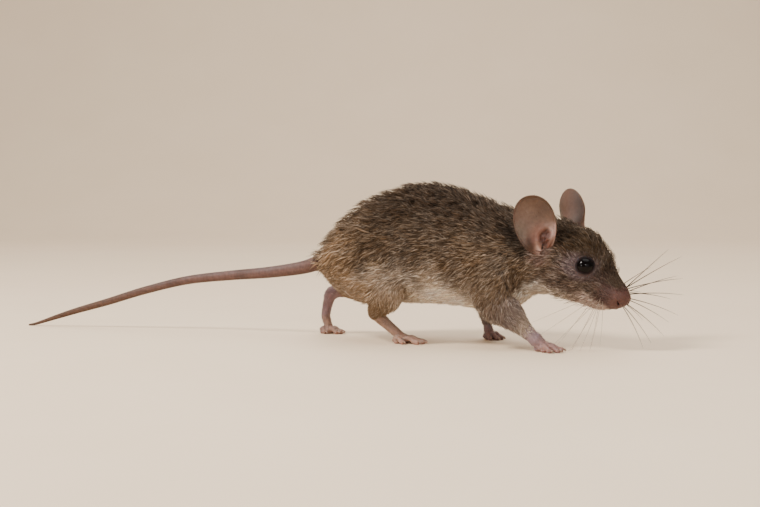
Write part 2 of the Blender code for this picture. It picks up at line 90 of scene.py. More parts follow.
limbs = {  # x, y, z, radius across, radius fore and aft, from inside the trunk down
    "hind_leg_right": [
        (-20.5, -5.0, 19.0, 4.6, 8.0), (-15.6, -8.0, 15.2, 4.4, 7.4),
        (-11.7, -9.6, 11.5, 3.4, 4.35), (-13.6, -8.8, 8.8, 2.4, 2.8),
        (-15.1, -8.0, 6.9, 1.9, 1.75), (-14.5, -7.4, 5.9, 1.65, 1.45),
        (-12.8, -6.9, 4.3, 1.45, 1.2), (-10.9, -6.4, 2.6, 1.45, 1.1),
    ],
    "hind_leg_left": [
        (-22.5, 5.0, 18.5, 4.6, 7.4), (-20.6, 7.8, 14.2, 4.2, 6.2),
        (-20.0, 8.6, 11.4, 3.2, 3.8), (-24.6, 8.1, 10.9, 2.3, 2.6),
        (-29.4, 7.3, 10.2, 1.7, 1.6), (-32.2, 7.0, 9.7, 1.6, 1.7),
        (-33.2, 7.0, 7.9, 1.4, 1.3), (-33.8, 7.0, 5.4, 1.3, 1.1), (-34.0, 7.0, 3.0, 1.35, 1.0),
    ],
    "fore_leg_right": [
        (13.0, -5.8, 19.5, 4.2, 6.6), (12.2, -8.6, 14.4, 3.8, 5.6),
        (13.9, -10.2, 10.2, 3.2, 4.6), (17.3, -10.6, 8.0, 2.4, 3.4),
        (20.2, -10.7, 5.3, 1.8, 2.2), (22.3, -10.7, 3.4, 1.5, 1.65), (23.8, -10.6, 2.1, 1.6, 1.5),
    ],
    "fore_leg_left": [
        (12.5, 5.8, 18.5, 4.2, 6.2), (9.4, 8.4, 13.4, 3.4, 4.6), (6.2, 9.1, 9.0, 2.6, 3.0),
        (5.8, 9.2, 6.0, 1.8, 1.9), (5.9, 9.1, 3.7, 1.35, 1.2), (6.3, 9.0, 1.9, 1.5, 1.0),
    ],
}

# For each foot: its leg, ball of the foot, heading in degrees, toes, scale, and the places on
# the leg's path (in rows) where the fur thins out and where the skin is bare.
feet = {
    "hind_foot_right": ("hind_leg_right", (-9.2, -6.2, 1.2), -4.0, "hind", 1.0, 2.9, 5.2),
    "hind_foot_left": ("hind_leg_left", (-33.1, 7.0, 1.2), -8.0, "hind", 0.67, 2.8, 4.8),
    "fore_foot_right": ("fore_leg_right", (25.3, -10.5, 1.1), -6.0, "fore", 1.0, 3.3, 5.5),
    "fore_foot_left": ("fore_leg_left", (6.7, 9.0, 1.1), -22.0, "fore", 0.8, 3.0, 4.7),
}

eyes = {"centre": (34.2, 4.6, 18.7), "radius": 2.0, "rings": 48, "count": 64}

sides = (("right", -1), ("left", 1))


def rowsAt(rows, place):
    # Catmull-Rom: the value at row i + t of the cubic through rows i-1, i, i+1 and i+2.
    rows = np.asarray(rows, float)
    padded = np.vstack([2 * rows[0] - rows[1], rows, 2 * rows[-1] - rows[-2]])
    place = np.clip(np.asarray(place, float), 0, len(rows) - 1)
    start = np.minimum(place.astype(int), len(rows) - 2)
    t = (place - start)[:, None]
    a, b, c, d = (padded[start + k] for k in range(4))
    return 0.5 * (2 * b + (c - a) * t + (2 * a - 5 * b + 4 * c - d) * t**2
                  + (3 * b - a - 3 * c + d) * t**3)


def unit(vectors):
    # Each vector divided by its own length.
    return vectors / np.maximum(np.linalg.norm(vectors, axis=-1, keepdims=True), 1e-9)


def dots(a, b):
    # Dot products of matching rows.
    return np.sum(a * b, axis=-1, keepdims=True)


def ramp(values, low, high):
    # 0 below low, 1 above high, and 3t^2 - 2t^3 between.
    t = np.clip((values - low) / (high - low), 0, 1)
    return t * t * (3 - 2 * t)


def fullTurn(count):
    # Even angles once round, without the last.
    return np.linspace(0, 2 * math.pi, count, endpoint=False)


def bump(values, centre, width):
    # A bell: e to the minus square of (value - centre) / width.
    return np.exp(-((values - centre) / width) ** 2)


def mixed(first, second, share):
    # The first plus a share of the way to the second.
    return first + (np.asarray(second) - first) * np.asarray(share)[..., None]


def painted(colour, source, *layers):
    # Named colours laid one after another over the first, each by its share.
    for name, share in layers:
        colour = mixed(colour, source[name], share)
    return colour


def waves(points, scale, seed, count=7):
    # Smooth noise about 0: a sum of sine waves in fixed odd directions.
    source = np.random.default_rng(seed)
    ways = unit(source.normal(size=(count, 3))) * source.uniform(0.6, 1.5, (count, 1))
    phases = source.uniform(0, 2 * math.pi, count)
    return np.sin(points @ ways.T * (2 * math.pi / scale) + phases).sum(-1) / math.sqrt(count)


def mirrored(spot, side):
    # A spot given for the left side, or its twin when side is -1.
    return np.array(spot) * (1, side, 1)


def turnAngle(points, back=1):
    # The head's turn at each point, and its share of the whole turn.
    share = ramp(points[..., 0], body["turnFrom"], body["turnTo"])
    return math.radians(body["yaw"]) * share * back, share


def spun(x, y, angle, centre=0.0):
    # x cos - y sin and x sin + y cos, about an upright line.
    return (centre + x * np.cos(angle) - y * np.sin(angle),
            x * np.sin(angle) + y * np.cos(angle))


def turnHead(points):
    # What lies forward of the nape is turned about an upright line and rolled a little.
    points = np.asarray(points, float)
    angle, share = turnAngle(points)
    centre, y = body["turnCentre"], points[..., 1]
    ahead, aside = spun(points[..., 0] - centre, y, angle, centre)
    return np.stack([ahead, aside, points[..., 2] + body["roll"] * share * y], -1)


def unturn(points):
    # The turn and roll taken back, with their share read at the turned points.
    angle, share = turnAngle(points, -1)
    centre = body["turnCentre"]
    x, y = spun(points[..., 0] - centre, points[..., 1], angle, centre)
    return np.stack([x, y, points[..., 2] - body["roll"] * share * y], -1)


def unturnVectors(vectors, local):
    # Directions turned back by the angle at their own points.
    x, y = spun(vectors[:, 0], vectors[:, 1], turnAngle(local, -1)[0])
    return np.stack([x, y, vectors[:, 2]], -1)


headAlong = np.array([math.cos(body["dip"]), 0.0, -math.sin(body["dip"])])
headUp = np.array([math.sin(body["dip"]), 0.0, math.cos(body["dip"])])
noseTip = np.array([body["noseTip"][0], 0.0, body["noseTip"][1]])


def headSpot(back, height, side=0.0):
    # A point of the unturned head from its distance back, height over the axis and y.
    return (noseTip - np.multiply.outer(back, headAlong) + np.multiply.outer(height, headUp)
            + np.multiply.outer(side, [0.0, 1.0, 0.0]))


def headRows():
    # The head's outline goes on in rows like the trunk's.
    rows = [row + (body["widestTrunk"],) for row in body["trunk"]]
    for back, above, below, half in body["head"]:
        top = headSpot(back, above)
        low = headSpot(back, -below)
        rows.append((top[0], top[2], low[0], low[2], half, body["widestHead"]))
    return rows


bodyRows = np.array(headRows())
napeRow = len(body["trunk"]) - 1


def bodyPoint(place, angle, inset=0.0):
    # Oval rings: the share of the way from belly to back is w + (1 - w or w) cos(angle),
    # and y is the half width times sin(angle); every ring shrinks by the inset all round.
    row = rowsAt(bodyRows, place)
    tall = np.hypot(row[:, 0] - row[:, 2], row[:, 1] - row[:, 3])
    inset = np.minimum(inset, tall * 0.45)
    cut = inset / tall
    widest = row[:, 5]
    reach = np.where(np.cos(angle) > 0, 1 - widest, widest) - cut
    share = widest + reach * np.cos(angle)
    return np.stack([row[:, 2] + share * (row[:, 0] - row[:, 2]),
                     np.maximum(row[:, 4] - inset, 0.1) * np.sin(angle),
                     row[:, 3] + share * (row[:, 1] - row[:, 3])], -1)


def tubeRings(rows, count, squeeze=0.0):
    # Ellipses square to a path, with one axis level and across.
    rows = np.asarray(rows, float)
    path = rows[:, :3]
    ahead = unit(np.gradient(path, axis=0))
    across = unit(np.array([0.0, 1.0, 0.0]) - ahead * ahead[:, 1:2])
    fore = np.cross(ahead, across)
    angle = fullTurn(count)
    wide = np.maximum(rows[:, 3] - squeeze, 0.2)[:, None, None]
    deep = np.maximum(rows[:, 4] - squeeze, 0.2)[:, None, None]
    return (path[:, None] + np.cos(angle)[None, :, None] * across[:, None] * wide
            + np.sin(angle)[None, :, None] * fore[:, None] * deep)


def gridFaces(rows, count, wrap=True):
    # Quads between each row of a grid and the next.
    i, j = np.meshgrid(np.arange(rows - 1), np.arange(count if wrap else count - 1), indexing="ij")
    k = (j + 1) % count
    return np.stack([i * count + j, i * count + k, (i + 1) * count + k, (i + 1) * count + j],
                    -1).reshape(-1, 4)


def closedGrid(rings):
    # The points and faces of a wrapped grid whose ends are closed by fans to their middles.
    rows, count = rings.shape[:2]
    points = np.vstack([rings.reshape(-1, 3), rings[0].mean(0), rings[-1].mean(0)])
    j = np.arange(count)
    k = (j + 1) % count
    first = np.stack([k, j, np.full(count, rows * count)], -1)
    last = np.stack([(rows - 1) * count + j, (rows - 1) * count + k,
                     np.full(count, rows * count + 1)], -1)
    return points, gridFaces(rows, count), np.vstack([first, last])


def outward(points, faceSets):
    # Faces turned to point outward: the volume that they enclose is then positive.
    volume = sum(dots(points[f[:, 0]], np.cross(points[f[:, k]], points[f[:, k + 1]])).sum()
                 for f in faceSets for k in range(1, f.shape[1] - 1))
    return [f[:, ::-1] for f in faceSets] if volume < 0 else faceSets


def newPiece(name, points, faceSets):
    # Whole arrays of points and of faces become a mesh object.
    loops = np.concatenate([f.reshape(-1) for f in faceSets])
    sizes = np.concatenate([np.full(len(f), f.shape[1]) for f in faceSets])
    starts = np.concatenate([[0], np.cumsum(sizes)[:-1]])
    mesh = bpy.data.meshes.new(name)
    mesh.vertices.add(len(points))
    mesh.vertices.foreach_set("co", np.asarray(points, np.float32).ravel())
    mesh.loops.add(len(loops))
    mesh.loops.foreach_set("vertex_index", loops.astype(np.int32))
    mesh.polygons.add(len(sizes))
    mesh.polygons.foreach_set("loop_start", starts.astype(np.int32))
    mesh.polygons.foreach_set("use_smooth", np.ones(len(sizes), bool))
    mesh.update(calc_edges=True)
    piece = bpy.data.objects.new(name, mesh)
    bpy.context.scene.collection.objects.link(piece)
    return piece


def makeMesh(name, points, *faceSets):
    # A closed piece whose faces point outward.
    return newPiece(name, points, outward(points, faceSets))


def joined(grids):
    # Closed grids, each as points, quads and fans, become one set of each.
    starts = np.cumsum([0] + [len(grid[0]) for grid in grids[:-1]])
    points, quads, tips = zip(*grids)
    return (np.vstack(points), np.vstack([q + start for q, start in zip(quads, starts)]),
            np.vstack([t + start for t, start in zip(tips, starts)]))


def readMesh(piece):
    # A mesh's points, normals and triangles as arrays.
    mesh = piece.data
    points = np.empty(len(mesh.vertices) * 3, np.float32)
    mesh.vertices.foreach_get("co", points)
    normals = np.empty(len(mesh.vertices) * 3, np.float32)
    mesh.vertex_normals.foreach_get("vector", normals)
    mesh.calc_loop_triangles()
    triangles = np.empty(len(mesh.loop_triangles) * 3, np.int32)
    mesh.loop_triangles.foreach_get("vertices", triangles)
    return (points.reshape(-1, 3).astype(float), normals.reshape(-1, 3).astype(float),
            triangles.reshape(-1, 3))


def fused(name, forms, voxel, smoothing):
    # Overlapping closed forms become one skin by a voxel remesh, which is then relaxed.
    grids = [closedGrid(rings) for rings in forms]
    piece = makeMesh(name, *joined([(p, *outward(p, [q, t])) for p, q, t in grids]))
    fuse = piece.modifiers.new("fuse", "REMESH")
    fuse.mode = "VOXEL"
    fuse.voxel_size = voxel
    relax = piece.modifiers.new("relax", "SMOOTH")
    relax.factor = 0.5
    relax.iterations = smoothing
    mesh = bpy.data.meshes.new_from_object(
        piece.evaluated_get(bpy.context.evaluated_depsgraph_get()))
    piece.modifiers.clear()
    piece.data = mesh
    mesh.name = name
    mesh.polygons.foreach_set("use_smooth", np.ones(len(mesh.polygons), bool))
    return piece


def movePoints(piece, points):
    # New places for a mesh's points.
    piece.data.vertices.foreach_set("co", points.astype(np.float32).ravel())
    piece.data.update()


def addColours(piece, colours, name="tint"):
    # One colour for each point, which the materials read.
    layer = piece.data.color_attributes.new(name, "FLOAT_COLOR", "POINT")
    full = np.ones((len(colours), 4), np.float32)
    full[:, :3] = np.clip(colours, 0, 1)
    layer.data.foreach_set("color", full.ravel())


# The right eye's solid says where the working frame lies.
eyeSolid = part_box("eye_right")
eyeWorking = turnHead(mirrored(eyes["centre"], -1)[None])[0]
offset = (np.array(eyeSolid[0]) + np.array(eyeSolid[1])) / 2 * 1000 - eyeWorking
offset[2] = 0.0


def settle(piece, slot, material, *replaced):
    # Millimetres in the working frame become metres in the frame of the solids.
    piece.data.transform(Matrix.Scale(0.001, 4) @ Matrix.Translation(Vector(offset)))
    piece.data.materials.clear()
    piece.data.materials.append(material)
    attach(piece, "root")
    if replaced:
        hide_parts(*replaced)
    return piece


view = {
    "from": (119.1, -337.3, 39.5),
    "azimuth": math.radians(22.0),
    "dip": math.radians(3.1),
    "lens": 74.8,
}
lights = {  # azimuth, height in degrees, distance, size, watts, colour
    "key": (-44.0, 46.0, 0.55, 0.16, 3.8, (1.0, 0.93, 0.85)),
    "fill": (50.0, 14.0, 0.75, 0.50, 0.70, (1.0, 0.95, 0.91)),
    "glint": (27.0, 20.0, 0.55, 0.06, 0.6, (1.0, 0.96, 0.92)),
    "sideGlint": (-26.0, 15.0, 0.55, 0.08, 0.6, (1.0, 0.96, 0.92)),
    "top": (120.0, 78.0, 0.60, 0.60, 2.2, (1.0, 0.96, 0.92)),
    "back": (190.0, 50.0, 0.80, 0.60, 2.6, (1.0, 0.95, 0.90)),
}
lightAim = (0.02, 0.0, 0.016)
sky = {"colour": (0.95, 0.88, 0.80, 1), "strength": 0.42}
floorSheet = {  # metres
    "near": -0.9,
    "bendFrom": 0.50,
    "bendRadius": 0.35,
    "length": 3.2,
    "halfWidth": 1.6,
    "colours": ((0.84, 0.678, 0.492), (0.90, 0.743, 0.560)),
}


def makeCamera():
    # It looks along the azimuth, dipped a little.
    a, p = view["azimuth"], view["dip"]
    right = Vector((math.cos(a), math.sin(a), 0))
    ahead = Vector((-math.sin(a) * math.cos(p), math.cos(a) * math.cos(p), -math.sin(p)))
    up = right.cross(ahead)
    place = (Vector(view["from"]) + Vector(offset)) * 0.001
    data = bpy.data.cameras.new("camera")
    data.lens = view["lens"]
    data.sensor_width = 36.0
    data.clip_start = 0.01
    camera = bpy.data.objects.new("camera", data)
    bpy.context.scene.collection.objects.link(camera)
    camera.matrix_world = Matrix(((right.x, up.x, -ahead.x, place.x),
                                  (right.y, up.y, -ahead.y, place.y),
                                  (right.z, up.z, -ahead.z, place.z), (0, 0, 0, 1)))
    bpy.context.scene.camera = camera


def makeLights():
    # Round lamps about the mouse, all aimed at one spot, and a dim sky.
    for name, (azimuth, height, distance, size, watts, colour) in lights.items():
        azimuth, height = math.radians(azimuth), math.radians(height)
        way = Vector((math.sin(azimuth) * math.cos(height),
                      -math.cos(azimuth) * math.cos(height), math.sin(height)))
        data = bpy.data.lights.new(name, "AREA")
        data.shape = "DISK"
        data.size = size
        data.energy = watts
        data.color = colour
        lamp = bpy.data.objects.new(name, data)
        bpy.context.scene.collection.objects.link(lamp)
        lamp.location = Vector(lightAim) + way * distance
        lamp.rotation_euler = way.to_track_quat("Z", "Y").to_euler()
    world = bpy.data.worlds.new("studio")
    world.use_nodes = True
    background = world.node_tree.nodes["Background"]
    background.inputs["Color"].default_value = sky["colour"]
    background.inputs["Strength"].default_value = sky["strength"]
    bpy.context.scene.world = world


def makeFloor():
    # A pale sheet that lies flat under the mouse and curves up far behind it.
    flat, radius = floorSheet["bendFrom"], floorSheet["bendRadius"]
    run = floorSheet["near"] + np.linspace(0, 1, 260) * floorSheet["length"] - flat
    bend = np.clip(run / (radius * math.pi / 2), 0, 1) * math.pi / 2
    y = flat + np.minimum(run, 0) + radius * np.sin(bend)
    z = radius * (1 - np.cos(bend)) + np.clip(run - radius * math.pi / 2, 0, None)
    a = view["azimuth"]
    across = np.linspace(-floorSheet["halfWidth"], floorSheet["halfWidth"], 9)
    grid = np.stack(np.broadcast_arrays(
        across[None] * math.cos(a) - y[:, None] * math.sin(a),
        across[None] * math.sin(a) + y[:, None] * math.cos(a), z[:, None] + 0 * across), -1)
    floor = newPiece("floor", grid.reshape(-1, 3), [gridFaces(*grid.shape[:2], wrap=False)])
    material, nodes, links, shader = newMaterial("paleFloor", 0.55)
    blotches(nodes, links, shader, floorSheet["colours"], Scale=22.0, Detail=6.0, Roughness=0.55)
    floor.data.materials.append(material)


def newMaterial(name, roughness, specular=0.5):
    # A principled shader with its roughness and specular level.
    material = bpy.data.materials.new(name)
    material.use_nodes = True
    shader = material.node_tree.nodes["Principled BSDF"]
    shader.inputs["Roughness"].default_value = roughness
    shader.inputs["Specular IOR Level"].default_value = specular
    return material, material.node_tree.nodes, material.node_tree.links, shader


def addNode(nodes, kind, **values):
    # A node whose inputs have these values.
    node = nodes.new(kind)
    for name, value in values.items():
        node.inputs[name].default_value = value
    return node


def addTexture(nodes, links, kind, **values):
    # A texture laid out in the object's own coordinates.
    place = nodes.get("Texture Coordinate") or nodes.new("ShaderNodeTexCoord")
    made = addNode(nodes, kind, **values)
    links.new(place.outputs["Object"], made.inputs["Vector"])
    return made


def addBump(nodes, links, shader, height, distance, strength=1.0):
    # A height bends the shader's normal, over any bump before it.
    step = nodes.new("ShaderNodeBump")
    step.inputs["Distance"].default_value = distance
    step.inputs["Strength"].default_value = strength
    links.new(height, step.inputs["Height"])
    before = shader.inputs["Normal"].links
    if before:
        links.new(before[0].from_socket, step.inputs["Normal"])
    links.new(step.outputs["Normal"], shader.inputs["Normal"])


def blotches(nodes, links, shader, colours, **values):
    # Base colour runs between two colours with a noise.
    noise = addTexture(nodes, links, "ShaderNodeTexNoise", **values)
    colour = nodes.new("ShaderNodeValToRGB")
    for stop, value in zip(colour.color_ramp.elements, colours):
        stop.color = (*value, 1)
    links.new(noise.outputs["Fac"], colour.inputs["Fac"])
    links.new(colour.outputs["Color"], shader.inputs["Base Color"])


def tintTimesNoise(nodes, links, shader, scale, low, high, detail=3.0):
    # Base colour is the point colour times a fine noise that runs from low to high.
    noise = addTexture(nodes, links, "ShaderNodeTexNoise", Scale=scale, Detail=detail)
    spread = addNode(nodes, "ShaderNodeMapRange", **{"From Min": 0.3, "From Max": 0.7,
                                                     "To Min": low, "To Max": high})
    tint = nodes.new("ShaderNodeAttribute")
    tint.attribute_name = "tint"
    times = nodes.new("ShaderNodeVectorMath")
    times.operation = "SCALE"
    links.new(noise.outputs["Fac"], spread.inputs["Value"])
    links.new(tint.outputs["Color"], times.inputs[0])
    links.new(spread.outputs["Result"], times.inputs["Scale"])
    links.new(times.outputs["Vector"], shader.inputs["Base Color"])
    return noise


def furMaterial(name):
    # Nearly matt hair in its tuft's colour, with a fine noise.
    material, nodes, links, shader = newMaterial(name, 0.68, 0.12)
    tintTimesNoise(nodes, links, shader, 2500.0, 0.9, 1.1)
    return material


def bareSkin(name, roughness, grain, depth, shine=0.22):
    # A cellular grain and finer wrinkles, with a little light passing through.
    material, nodes, links, shader = newMaterial(name, roughness, shine)
    tintTimesNoise(nodes, links, shader, grain * 0.35, 0.86, 1.1)
    cells = addTexture(nodes, links, "ShaderNodeTexVoronoi", Scale=grain)
    addBump(nodes, links, shader, cells.outputs["Distance"], depth)
    wrinkle = addTexture(nodes, links, "ShaderNodeTexNoise", Scale=grain * 0.5, Detail=5.0)
    addBump(nodes, links, shader, wrinkle.outputs["Fac"], depth * 1.6)
    shader.inputs["Subsurface Weight"].default_value = 0.25
    shader.inputs["Subsurface Radius"].default_value = (1.0, 0.35, 0.2)
    shader.inputs["Subsurface Scale"].default_value = 0.0006
    return material


def underFur(name):
    # Dull skin between the hairs.
    material, nodes, links, shader = newMaterial(name, 0.85, 0.15)
    noise = tintTimesNoise(nodes, links, shader, 1600.0, 0.65, 1.15, 4.0)
    addBump(nodes, links, shader, noise.outputs["Fac"], 0.0003)
    return material


def eyeMaterial():
    # Almost black and very smooth.
    material, nodes, links, shader = newMaterial("blackEye", 0.03, 0.12)
    blotches(nodes, links, shader, ((0.0012, 0.0008, 0.0008), (0.0028, 0.0014, 0.0014)),
             Scale=400.0, Detail=2.0)
    return material


print("frame read, offset", offset)
makeCamera()
makeLights()
makeFloor()
materials = {  # bare skin: roughness, grain, depth of the grain, shine
    "coatBody": furMaterial("agoutiFur"),
    "coatHead": furMaterial("faceFur"),
    "underFur": underFur("underFur"),
    "nose": bareSkin("noseSkin", 0.42, 5200.0, 0.00004),
    "lid": bareSkin("lidSkin", 0.75, 4200.0, 0.00003, 0.04),
    "foot": bareSkin("footSkin", 0.5, 3200.0, 0.00008),
    "ear": bareSkin("earSkin", 0.55, 3800.0, 0.00003),
    "tail": bareSkin("tailSkin", 0.55, 3600.0, 0.00003),
    "claw": bareSkin("clawHorn", 0.3, 2000.0, 0.00001),
    "whisker": furMaterial("whiskerHair"),
    "eye": eyeMaterial(),
}
print("camera, lights, floor and materials made")


spinePlaces = np.linspace(0, len(bodyRows) - 1, (len(bodyRows) - 1) * 4 + 1)
spineRows = rowsAt(bodyRows, spinePlaces)


def bodySpot(points):
    # A point's row along the body and its share of the way from belly to back. The rings'
    # dorsal-ventral lines split the side view into strips; signed distances to the two lines
    # about a point give the row between them.
    local = unturn(points)
    place, rows = spinePlaces, spineRows
    dx, dz = rows[:, 0] - rows[:, 2], rows[:, 1] - rows[:, 3]
    tall = np.hypot(dx, dz)
    reach = (dz * (local[:, :1] - rows[:, 2]) - dx * (local[:, 2:] - rows[:, 3])) / tall
    ahead = np.clip((reach > 0).sum(1) - 1, 0, len(place) - 2)
    index = np.arange(len(points))
    near, far = reach[index, ahead], reach[index, ahead + 1]
    t = np.clip(near / np.maximum(near - far, 1e-6), 0, 1)
    row = place[ahead] + t * (place[1] - place[0])
    at = rowsAt(bodyRows, row)
    ax, az = at[:, 0] - at[:, 2], at[:, 1] - at[:, 3]
    share = ((local[:, 0] - at[:, 2]) * ax + (local[:, 2] - at[:, 3]) * az) / (ax**2 + az**2)
    widest = at[:, 5]
    lift = np.where(share > widest, (share - widest) / (1 - widest), (share - widest) / widest)
    angle = np.arctan2(local[:, 1] / np.maximum(at[:, 4], 0.5), np.clip(lift, -1.2, 1.2))
    return row, share, angle, local


def limbSpot(points, name):
    # Where a point lies along a limb's path, in rows, and how far out it is in radii.
    count = len(limbs[name])
    place = np.linspace(0, count - 1, (count - 1) * 10 + 1)
    rows = rowsAt(limbs[name], place)
    radius = (rows[:, 3] + rows[:, 4]) / 2
    apart = np.linalg.norm(points[:, None] - rows[None, :, :3], axis=2) / radius
    nearest = apart.argmin(1)
    ahead = unit(np.gradient(rows[:, :3], axis=0))
    return place[nearest], apart.min(1), ahead[nearest]


palette = {  # linear colours of the coat and skin
    "back": (0.047, 0.0290, 0.0178),
    "flank": (0.099, 0.0655, 0.0416),
    "rump": (0.272, 0.178, 0.106),
    "lowFlank": (0.335, 0.265, 0.206),
    "belly": (0.820, 0.690, 0.570),
    "shoulder": (0.160, 0.107, 0.068),
    "crown": (0.053, 0.0315, 0.0160),
    "cheek": (0.126, 0.083, 0.062),
    "throat": (0.480, 0.380, 0.300),
    "muzzleTop": (0.068, 0.044, 0.027),
    "muzzlePink": (0.096, 0.049, 0.042),
    "lip": (0.450, 0.325, 0.275),
    "nosePink": (0.086, 0.0385, 0.0318),
    "haze": (0.135, 0.088, 0.082),
    "eyeRing": (0.126, 0.088, 0.092),
    # painted shade inside the nostrils
    "nostril": (0.010, 0.004, 0.004),
    "legPale": (0.245, 0.190, 0.172),
    "barePink": (0.262, 0.180, 0.200),
    "pawPink": (0.285, 0.168, 0.150),
    "hindMauve": (0.232, 0.146, 0.158),
    "hindGold": (0.250, 0.158, 0.118),
    "hindPaw": (0.340, 0.208, 0.160),
    "earFoot": (0.230, 0.150, 0.135),
}
palette = {name: np.array(value) for name, value in palette.items()}


def lineGap(points, ends):
    # How far points of either side are from a short line, and how far along it they lie.
    start, end = np.array(ends)
    rel = np.stack([points[..., 0], np.abs(points[..., 1]), points[..., 2]], -1) - start
    t = np.clip(rel @ (end - start) / ((end - start) @ (end - start)), 0, 1)
    return np.linalg.norm(rel - np.multiply.outer(t, end - start), axis=-1), t


def underEar(points):
    # 1 by a line from below an ear to its front edge, and 0 some way off.
    gap, t = lineGap(points, body["earFoot"])
    return 1 - ramp(gap, 1.2, 3.6 - 1.1 * t)


def paintedEarShadow(points):
    # 1 along a line behind and below an ear's rim, where painted shadow makes the fur darkest.
    return 1 - ramp(lineGap(points, body["earShadowLine"])[0], 0.7, 2.9)


def earShadowAndPink(colour, points, strength):
    # Painted shadow, darkest behind and below an ear, and pinker toward its foot.
    # painted shadow: darker behind and below the ear
    colour = colour * (1 - 0.66 * paintedEarShadow(points))[..., None]
    return mixed(colour, palette["earFoot"], strength * underEar(points))


def trunkColour(row, share, points):
    # Dark along the back, grey-brown on the flanks, warmer on the rump and cream below.
    wander = 0.035 * waves(points, 9.0, 3) + 0.02 * waves(points, 3.5, 4)
    high = share + wander
    front = ramp(row, 8.0, 10.5) * (1 - ramp(high, 0.55, 0.8))
    colour = painted(palette["belly"], palette, ("lowFlank", ramp(high, 0.09, 0.24)),
                     ("flank", ramp(high, 0.22, 0.46)),
                     ("shoulder", front * ramp(high, 0.14, 0.34)))
    under = 1.5 * (1 - ramp(high, 0.15, 0.40))
    rear = (1 - ramp(row - under, 4.0, 6.5)) * (1 - ramp(high, 0.80, 1.2))
    low = 0.30 * (1 - ramp(row, 0.8, 2.2))
    rear = rear * ramp(high - low, -0.25, -0.05)
    golden = np.multiply.outer(1 + 0.42 * ramp(high, 0.45, 0.85), palette["rump"])
    colour = mixed(colour, golden, rear)
    dark = ramp(high, 0.50, 0.95) * (0.05 + 0.95 * ramp(row, 3.9, 8.3))
    dark = dark * (1 - 0.3 * ramp(row, 10.0, 12.0))
    # a narrow dark line goes on over the rump
    dark = np.maximum(dark, 0.72 * ramp(high, 0.76, 1.0) * ramp(row, 1.9, 4.2))
    # the fur round the tail's root is duller above
    colour = painted(colour, palette, ("flank", (1 - ramp(row, 0.7, 1.9)) * ramp(high, 0.35, 0.7)),
                     ("back", dark))
    # painted light: the hollow between neck and shoulder is made lighter to undo the shade in it
    hollow = bump(row, 12.2, 0.8) * bump(share, 0.25, 0.12)
    colour = colour * (1 + 0.35 * hollow)[..., None]
    # washes of browner and greyer fur
    hue = 0.05 * waves(points, 7.0, 5) + 0.03 * waves(points, 2.5, 6)
    return earShadowAndPink(colour * (1 + np.multiply.outer(hue, [0.6, 0.0, -1.1])), points, 0.7)


def limbRange(name):
    # The rows of a limb's path where its fur begins to thin and where the skin is bare.
    return next(row[5:7] for row in feet.values() if row[0] == name)


def limbFur(name, place):
    # How full the fur is along a limb: 1 at the trunk and 0 where the skin is bare.
    start, bare = limbRange(name)
    return 1 - ramp(place, start - 1.6, bare)


def limbColour(name, place, points):
    # A limb pales down from the trunk's colour and is bare and pink past the wrist or heel.
    start, bare = limbRange(name)
    hind = name.startswith("hind")
    rel = points - rowsAt(limbs[name], place)[:, :3]
    if hind:
        # golden behind and greyer in front
        front = 0.75 * ramp(rel[:, 0], 0.6, 3.6)
        colour = mixed(palette["rump"], palette["lowFlank"] * (0.73, 0.63, 0.56), front)
        pale, upper, lower = palette["rump"] * 0.78, start - 2.3, start - 0.3
    else:
        # brown above, paler on the edge behind and below the elbow
        below = 0.85 * ramp(rel @ (-0.75, 0.0, -0.66), 0.7, 2.8)
        colour = mixed(palette["shoulder"], palette["lowFlank"], below)
        pale, upper, lower = palette["legPale"], start - 2.0, start - 0.2
    colour = mixed(colour, pale, ramp(place, upper, lower))
    skin = palette["hindMauve" if name.endswith("left") else "hindGold"]
    skin = skin if hind else palette["barePink"]
    return mixed(colour, skin, ramp(place, start + 0.5, bare))


def coatColour(points):
    # The trunk's colour goes over to a limb's near the limb's path.
    row, share, _, local = bodySpot(points)
    colour = trunkColour(row, share, local)
    for name in limbs:
        place, apart = limbSpot(points, name)[:2]
        first = 0.5 if name.startswith("fore") else 1.2
        weight = ramp(place, first, first + 1.2) * (1 - ramp(apart, 1.25, 1.8))
        colour = mixed(colour, limbColour(name, place, points), weight)
    return colour


def limbInset(name, place):
    # The coat's depth on a limb, less and less toward the bare end.
    return body["coatDepth"] * limbFur(name, place) + 0.05


def insetLimb(name):
    # Path rows with the coat's depth taken off, closed in just before the skin is bare.
    rows = np.array(limbs[name])
    bare = limbRange(name)[1]
    place = np.linspace(0, bare - 0.15, body["limbRings"])
    fine = rowsAt(rows, place)
    taper = 0.5 * ramp(place, bare - 0.5, bare - 0.15)
    fine[:, 3:] = np.maximum(fine[:, 3:] - (limbInset(name, place) + taper)[:, None], 0.35)
    return fine


def creasesFilled(points, normals, triangles):
    # Each point near a limb's top moves out to where relaxed neighbours put it, never in:
    # x becomes x + half (mean of its neighbours - x), many times over.
    near = np.zeros(len(points))
    for name in limbs:
        place, apart = limbSpot(points, name)[:2]
        near = np.maximum(near, (1 - ramp(place, 2.6, 3.6)) * (1 - ramp(apart, 1.9, 2.8)))
    edges = np.vstack([triangles[:, [0, 1]], triangles[:, [1, 2]], triangles[:, [2, 0]]])
    ends, others = np.concatenate([edges, edges[:, ::-1]]).T
    valence = np.maximum(np.bincount(ends, minlength=len(points)), 1)[:, None]
    relaxed = points.copy()
    for _ in range(body["creaseSteps"]):
        mean = np.stack([np.bincount(ends, relaxed[others, k], len(points)) for k in range(3)], -1)
        relaxed += 0.5 * near[:, None] * (mean / valence - relaxed)
    out = dots(relaxed - points, normals)
    return np.where(out > 0, relaxed, points)


